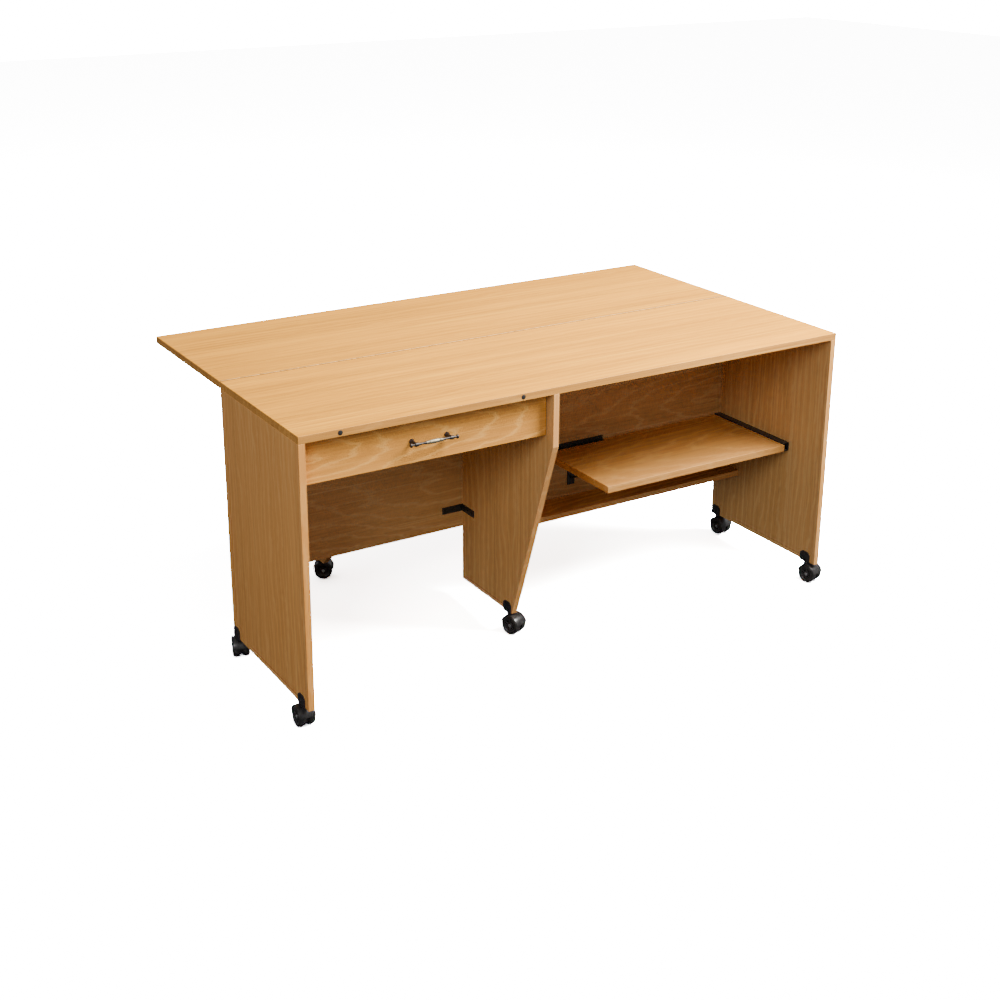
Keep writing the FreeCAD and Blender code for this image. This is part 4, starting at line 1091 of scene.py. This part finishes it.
class SEWING_OT_handle(bpy.types.Operator):
    """Turned bar on flared posts, with a beaded pewter grip"""
    bl_idname = "sewing_table.handle"
    bl_label = "Drawer Handle"

    def execute(self, context):
        low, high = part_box("drawer_handle")
        grip_low, grip_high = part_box("handle_grip")
        bar = (grip_low + grip_high) / 2
        half_grip = (grip_high.x - grip_low.x) / 2
        self.make_bar(low, high, bar, half_grip)
        self.make_grip(bar, half_grip, (grip_high.z - grip_low.z) / 2)
        return {"FINISHED"}

    def make_bar(self, low, high, bar, half_grip):
        bm = bmesh.new()
        half = (high.x - low.x) / 2
        posts = self.post_places()
        post = (posts[-1].x - posts[0].x) / 2
        outline = both_ways([
            (half, 0.0), (half, 0.0028), (half - 0.0012, 0.0048), (half - 0.0046, 0.0048),
            (half - 0.0062, 0.0026), (post + 0.0050, 0.0030), (post + 0.0042, 0.0046),
            (post - 0.0042, 0.0046), (post - 0.0054, 0.0030), (half_grip + 0.008, 0.0027),
            (half_grip, 0.0036)])
        revolve(bm, rounded(outline, 0.0011, 4), Matrix.Translation(bar), 40)
        for place in posts:
            foot = Vector((place.x, high.y, bar.z))
            reach = high.y - bar.y
            flare = [(0.0, 0.0), (0.0, 0.0064), (0.0014, 0.0064), (0.0052, 0.0039),
                     (reach * 0.5, 0.0033), (reach - 0.0005, 0.0039), (reach, 0.0)]
            revolve(bm, rounded(flare, 0.0014, 4), place_matrix(foot, -Y_AXIS), 32)
        add_piece(bm, "drawer_handle_turned", "dark metal", "drawer", "dark_pewter",
                  "drawer_handle")

    def post_places(self):
        """Middle of each handle screw, which runs up its post."""
        boxes = [box_of(points) for points in islands("drawer_screws")]
        middles = [(low + high) / 2 for low, high in boxes if high.y - low.y > HANDLE_SCREW]
        return sorted(middles, key=lambda m: m.x)

    def make_grip(self, bar, half, radius):
        rings = settings("handle").grip_rings
        neck = half * 0.36
        pitch = neck / max(rings, 1)
        side = [(half, 0.0031), (half, radius * 0.74)]
        for i in range(rings):
            middle = half - pitch * (i + 0.5)
            swell = radius * (0.80 + 0.05 * i)
            side += [(middle + pitch * 0.30, swell), (middle - pitch * 0.30, swell),
                     (middle - pitch * 0.46, radius * 0.66)]
        side += [(half - neck - 0.0022, radius * 0.90), (0.0, radius)]
        profile = side + [(-x, r) for x, r in side[:-1]][::-1]
        bm = bmesh.new()
        revolve(bm, rounded(profile, 0.0006, 3), Matrix.Translation(bar), 48, loop=True)
        add_piece(bm, "handle_grip_turned", "pewter", "drawer", "pewter", "handle_grip")


# ---- casters

def caster_place(name):
    """Matrix of a caster: origin on the floor under the stem, X along its axle, Y to the axle."""
    stem = Vector(joint("swivel_" + name)["pos_m"])
    axle = joint("spin_left_" + name)
    x = Vector(axle["axis"]).normalized()
    matrix = Matrix((x, Z_AXIS.cross(x), Z_AXIS)).transposed().to_4x4()
    matrix.translation = Vector((stem.x, stem.y, 0))
    return matrix


def caster_trail(name):
    """How far a caster's axle stands behind its stem."""
    stem = Vector(joint("swivel_" + name)["pos_m"])
    axle = Vector(joint("spin_left_" + name)["pos_m"])
    return (axle - stem).to_2d().length


HALF_GAP = CASTER_WIDTH / 2 - WHEEL_WIDTH
AXLE_RADIUS = 0.003
BORE_PLAY = 0.0001
HOOD_PLAY = 0.0006
HOOD_WALL = 0.0029
HOOD_START = 11
BRIDGE_START = 20
BOSS_TOP = 0.0549
AXLE_HEAD_INSET = 0.0027
AXLE_STRETCH = 1.08
RIB_THICKNESS = 0.0011
BRACKET_PLATE = 0.0025
BRACKET_ROUND = 0.0004
BRACKET_TAB = 0.028


def wheel_profile(round_radius):
    """Tread, outer rim, dished face, hub and bore of a wheel, along X from the web."""
    r = WHEEL_RADIUS
    w = WHEEL_WIDTH
    bore = AXLE_RADIUS + BORE_PLAY
    tread = rounded([(0.0, r * 0.80), (0.0, r - 0.0006), (w * 0.5, r), (w, r - 0.0006),
                     (w, r * 0.80)], round_radius, 6)
    face = [(w, r * 0.72), (w - 0.0008, r * 0.68), (w - 0.0030, r * 0.62),
            (w - 0.0046, r * 0.40), (w - 0.0046, 0.0074), (w - 0.0024, 0.0068),
            (w - 0.0030, 0.0052), (w - 0.0030, bore), (0.0, bore)]
    return tread + [Vector(p) for p in rounded(face, 0.0005, 2)]


def rib_ring_tree():
    """Geometry Nodes: ribs set round the hub and joined to the wheel."""
    tree, inputs = new_tree("Rib Ring", "GeometryNodeTree", [
        ("Geometry", "Geometry", None),
        ("Count", "Int", 6),
        ("Radius", "Float", 0.01),
        ("Rib Size", "Vector", (0.001, 0.008, 0.002)),
        ("Offset", "Vector", (0, 0, 0)),
        ("Finish", "Material", None)], [("Geometry", "Geometry")])
    circle = add_node(tree, "GeometryNodeMeshCircle",
                      {"Vertices": inputs["Count"], "Radius": inputs["Radius"]})
    outward = add_node(tree, "GeometryNodeInputPosition")
    aim = add_node(tree, "FunctionNodeAlignRotationToVector",
                   {"Vector": outward.outputs[0]}, axis="X")
    bar = add_node(tree, "GeometryNodeMeshCube", {"Size": inputs["Rib Size"]})
    copies = add_node(tree, "GeometryNodeInstanceOnPoints",
                      {"Points": circle.outputs[0], "Instance": bar.outputs[0],
                       "Rotation": aim.outputs[0]})
    upright = add_node(tree, "GeometryNodeTransform",
                       {"Geometry": copies.outputs[0], "Translation": inputs["Offset"],
                        "Rotation": (0, math.pi / 2, 0)})
    return end_tree(tree, inputs, upright.outputs[0], inputs["Geometry"])


class SEWING_OT_wheels(bpy.types.Operator):
    """Twin wheels with rounded treads, dished faces and ribs"""
    bl_idname = "sewing_table.wheels"
    bl_label = "Caster Wheels"

    def execute(self, context):
        tree = rib_ring_tree()
        for name in CASTER_NAMES:
            for side_name, side in (("left", -1), ("right", 1)):
                self.make_wheel(tree, name, side_name, side)
        return {"FINISHED"}

    def make_wheel(self, tree, name, side_name, side):
        casters = settings("casters")
        node = "caster_wheel_" + side_name + "_" + name
        bm = bmesh.new()
        revolve(bm, wheel_profile(casters.tread_round), Matrix.Identity(4), 72, loop=True)
        wheel = to_object(bm, node + "_moulded", "caster tread")
        run_tree(wheel, tree, {
            "Count": casters.spokes, "Radius": WHEEL_RADIUS * 0.45,
            "Finish": finish("caster tread"),
            "Rib Size": Vector((WHEEL_RADIUS * 0.34, RIB_THICKNESS, 0.0030)),
            "Offset": Vector((WHEEL_WIDTH - 0.0034, 0, 0))})
        lift = Vector((side * HALF_GAP, caster_trail(name), WHEEL_RADIUS))
        half_turn = Matrix.Rotation(math.pi if side < 0 else 0.0, 4, "Z")
        wheel.data.transform(caster_place(name) @ Matrix.Translation(lift) @ half_turn)
        attach(wheel, "wheel_" + side_name + "_" + name, "wheel_nylon", node)


class SEWING_OT_hoods(bpy.types.Operator):
    """Hoods over the wheels, with web, boss and stem, and the axles"""
    bl_idname = "sewing_table.hoods"
    bl_label = "Caster Hoods"

    def execute(self, context):
        for name in CASTER_NAMES:
            self.make_hood(name)
        return {"FINISHED"}

    def make_hood(self, name):
        node = "caster_hood_" + name
        place = caster_place(name)
        axle = place @ Matrix.Translation((0, caster_trail(name), WHEEL_RADIUS))
        half = CASTER_WIDTH / 2
        inner = WHEEL_RADIUS + HOOD_PLAY
        outer = inner + HOOD_WALL
        bm = bmesh.new()
        shell = rounded([(-half, inner), (half, inner), (half, outer - 0.0008), (half * 0.5, outer),
                         (-half * 0.5, outer), (-half, outer - 0.0008)], 0.0009, 4, closed=True)
        sweep_arc(bm, shell, HOOD_START, axle, 56)
        web_half = HALF_GAP - 0.0003
        web_edge = WHEEL_RADIUS - 0.0045
        web = rounded([(-web_half, 0.0), (-web_half, web_edge), (0.0, WHEEL_RADIUS - 0.0035),
                       (web_half, web_edge), (web_half, 0.0)], 0.0012, 3)
        revolve(bm, web, axle, 56)
        bridge = rounded(rectangle(-web_half, web_half, WHEEL_RADIUS - 0.006, outer - 0.001),
                         0.0006, 2, closed=True)
        sweep_arc(bm, bridge, BRIDGE_START, axle, 40)
        self.add_stem(bm, name, place)
        add_piece(bm, node + "_moulded", "caster nylon", "hood_" + name, "hood_nylon", node)
        self.make_axle_heads(name, axle)

    def add_stem(self, bm, name, place):
        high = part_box("caster_hood_" + name)[1].z
        boss = [(0.048, 0.0), (0.048, 0.0088), (0.0522, 0.0084), (BOSS_TOP, 0.0072),
                (BOSS_TOP, 0.004), (0.062, 0.004), (0.0626, 0.0034), (0.0638, 0.0034),
                (0.0644, 0.004), (high - 0.001, 0.004), (high, 0.003), (high, 0.0)]
        revolve(bm, rounded(boss, 0.0006, 2), place @ place_matrix((0, 0, 0), Z_AXIS), 36)

    def make_axle_heads(self, name, axle):
        bm = bmesh.new()
        face = CASTER_WIDTH / 2 - AXLE_HEAD_INSET
        head = rounded(both_ways([(face, 0.0), (face, 0.0026), (face - 0.0002, 0.0048),
                                  (face - 0.0012, 0.0050), (face - 0.0012, 0.0029)]), 0.0004, 3)
        revolve(bm, [(x * AXLE_STRETCH, r) for x, r in head], axle, 32)
        add_piece(bm, "caster_axle_" + name, "axle steel", "hood_" + name, "screw_steel")


class SEWING_OT_caster_brackets(bpy.types.Operator):
    """Angle plates that hold the casters under the boards' left faces"""
    bl_idname = "sewing_table.caster_brackets"
    bl_label = "Caster Brackets"

    def execute(self, context):
        on_frame = [name for name in CASTER_NAMES if name != "gate"]
        for node, names, body in (("caster_brackets", on_frame, "frame"),
                                  ("caster_bracket_gate", ["gate"], "gate")):
            bm = bmesh.new()
            for name in names:
                self.add_bracket(bm, name)
            piece = to_object(bm, node + "_pressed", "black paint")
            attach(bevelled(piece, BRACKET_ROUND), body, "black_steel", node)
        return {"FINISHED"}

    def add_bracket(self, bm, name):
        stem = Vector(joint("swivel_" + name)["pos_m"])
        left, right = stem.y - BRACKET_SIZE.y / 2, stem.y + BRACKET_SIZE.y / 2
        face = stem.x - BOARD_THICKNESS / 2
        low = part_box("caster_bracket_gate")[0].z
        top = UPRIGHT_FOOT + BRACKET_TAB
        tab = [(left, low), (right, low), (right, top - 0.007), (right - 0.009, top),
               (left + 0.009, top), (left, top - 0.007)]
        extrude_outline(bm, rounded(tab, 0.003, 4, closed=True), BRACKET_PLATE,
                        Matrix.Translation((face - BRACKET_PLATE, 0, 0)))
        extrude_outline(bm, rectangle(left, right, low, UPRIGHT_FOOT), BOARD_THICKNESS,
                        Matrix.Translation((face, 0, 0)))
        collar = [(low - 0.0003, 0.0045), (low - 0.0003, 0.0075), (low + 0.001, 0.0075),
                  (low + 0.001, 0.0045)]
        revolve(bm, rounded(collar, 0.0002, 2, closed=True),
                place_matrix((stem.x, stem.y, 0), Z_AXIS), 32, loop=True)


# ---- stage

FLOOR_REACH = 14.0
CLIP_END = 60.0
PAPER_UNSEEN = (0.06, 0.06, 0.06, 1.0)


def area_light(name, place, target, size, power, color):
    """Square soft light aimed at a point."""
    light = bpy.data.lights.new(name, "AREA")
    light.shape = "RECTANGLE"
    light.size = light.size_y = size
    light.energy = power
    light.color = color
    obj = link(name, light)
    obj.location = place
    obj.rotation_euler = (Vector(target) - Vector(place)).to_track_quat("-Z", "Y").to_euler()


class SEWING_OT_stage(bpy.types.Operator):
    """Pale floor, soft studio light and the camera"""
    bl_idname = "sewing_table.stage"
    bl_label = "Stage"

    def execute(self, context):
        stage = settings("stage")
        self.make_floor(stage)
        self.make_sky(context, stage)
        area_light("key light", (1.35, -1.20, 2.75), (0.0, 0.0, 0.5), 1.7, stage.key,
                   (1.0, 0.985, 0.96))
        area_light("fill light", (-2.7, -2.4, 2.3), (-0.3, 0.0, 0.4), 1.2, stage.fill,
                   (1.0, 1.0, 1.0))
        self.make_camera(context, stage)
        return {"FINISHED"}

    def make_floor(self, stage):
        reach = FLOOR_REACH
        mesh = bpy.data.meshes.new("floor")
        mesh.from_pydata([(x, y, 0.0) for x, y in rectangle(-reach, reach, -reach, reach)], [],
                         [(0, 1, 2, 3)])
        mesh.materials.append(self.floor_material(stage))
        floor = link("floor", mesh)

    def floor_material(self, stage):
        """White paper sweep: shown bright, yet it throws little light back up."""
        material, tree = empty_material("paper sweep")
        seen = add_node(tree, "ShaderNodeLightPath").outputs["Is Camera Ray"]
        place = add_node(tree, "ShaderNodeTexCoord").outputs["Object"]
        mottle = spread(tree, noise(tree, place, 9.0, 3.0), 0.2, 0.8, 0.985, 1.0)
        shown = scaled(tree, mottle, (stage.whiteness,) * 3)
        color = mix_colors(tree, seen, PAPER_UNSEEN, shown)
        paper = add_node(tree, "ShaderNodeBsdfDiffuse", {"Color": color})
        add_node(tree, "ShaderNodeOutputMaterial", {"Surface": paper.outputs[0]})
        return material

    def make_sky(self, context, stage):
        world = bpy.data.worlds.new("studio")
        world.use_nodes = True
        tree = world.node_tree
        seen = add_node(tree, "ShaderNodeLightPath").outputs["Is Camera Ray"]
        shown = times(tree, seen, 2 * stage.whiteness)
        feed(tree, tree.nodes["Background"], {
            "Color": (1.0, 1.0, 1.0, 1.0),
            "Strength": math_node(tree, "ADD", shown, stage.sky)})
        context.scene.world = world

    def make_camera(self, context, stage):
        camera = bpy.data.cameras.new("camera")
        camera.lens = stage.lens
        camera.shift_x, camera.shift_y = stage.shift
        camera.clip_end = CLIP_END
        obj = link("camera", camera)
        obj.location = stage.camera_place
        obj.rotation_euler = (math.pi / 2 - stage.tilt, 0.0, -stage.heading)
        context.scene.camera = obj


# ---- panel and registration

OPERATORS = (SEWING_OT_boards, SEWING_OT_steel, SEWING_OT_seam_hinge, SEWING_OT_screws,
             SEWING_OT_plugs, SEWING_OT_handle, SEWING_OT_wheels,
             SEWING_OT_hoods, SEWING_OT_caster_brackets, SEWING_OT_stage)
SETTINGS = {"table_wood": WoodSettings, "table_casters": CasterSettings,
            "table_hardware": HardwareSettings, "table_handle": HandleSettings,
            "table_stage": StageSettings}


class SEWING_PT_panel(bpy.types.Panel):
    """Sidebar panel with the settings and the operators"""
    bl_idname = "SEWING_PT_panel"
    bl_label = "Sewing Table"
    bl_space_type = "VIEW_3D"
    bl_region_type = "UI"
    bl_category = "Sewing Table"

    def draw(self, context):
        for name, group in SETTINGS.items():
            box = self.layout.box()
            box.label(text=group.__name__)
            for prop in group.__annotations__:
                box.prop(getattr(context.scene, name), prop)
        for operator in OPERATORS:
            self.layout.operator(operator.bl_idname)


def register():
    for group in SETTINGS.values():
        bpy.utils.register_class(group)
    for operator in OPERATORS:
        bpy.utils.register_class(operator)
    bpy.utils.register_class(SEWING_PT_panel)
    for name, group in SETTINGS.items():
        setattr(bpy.types.Scene, name, bpy.props.PointerProperty(type=group))


def unregister():
    for name in SETTINGS:
        delattr(bpy.types.Scene, name)
    bpy.utils.unregister_class(SEWING_PT_panel)
    for operator in reversed(OPERATORS):
        bpy.utils.unregister_class(operator)
    for group in reversed(list(SETTINGS.values())):
        bpy.utils.unregister_class(group)


def main():
    register()
    for operator in OPERATORS:
        area, name = operator.bl_idname.split(".")
        getattr(getattr(bpy.ops, area), name)()


if __name__ == "__main__":
    main()
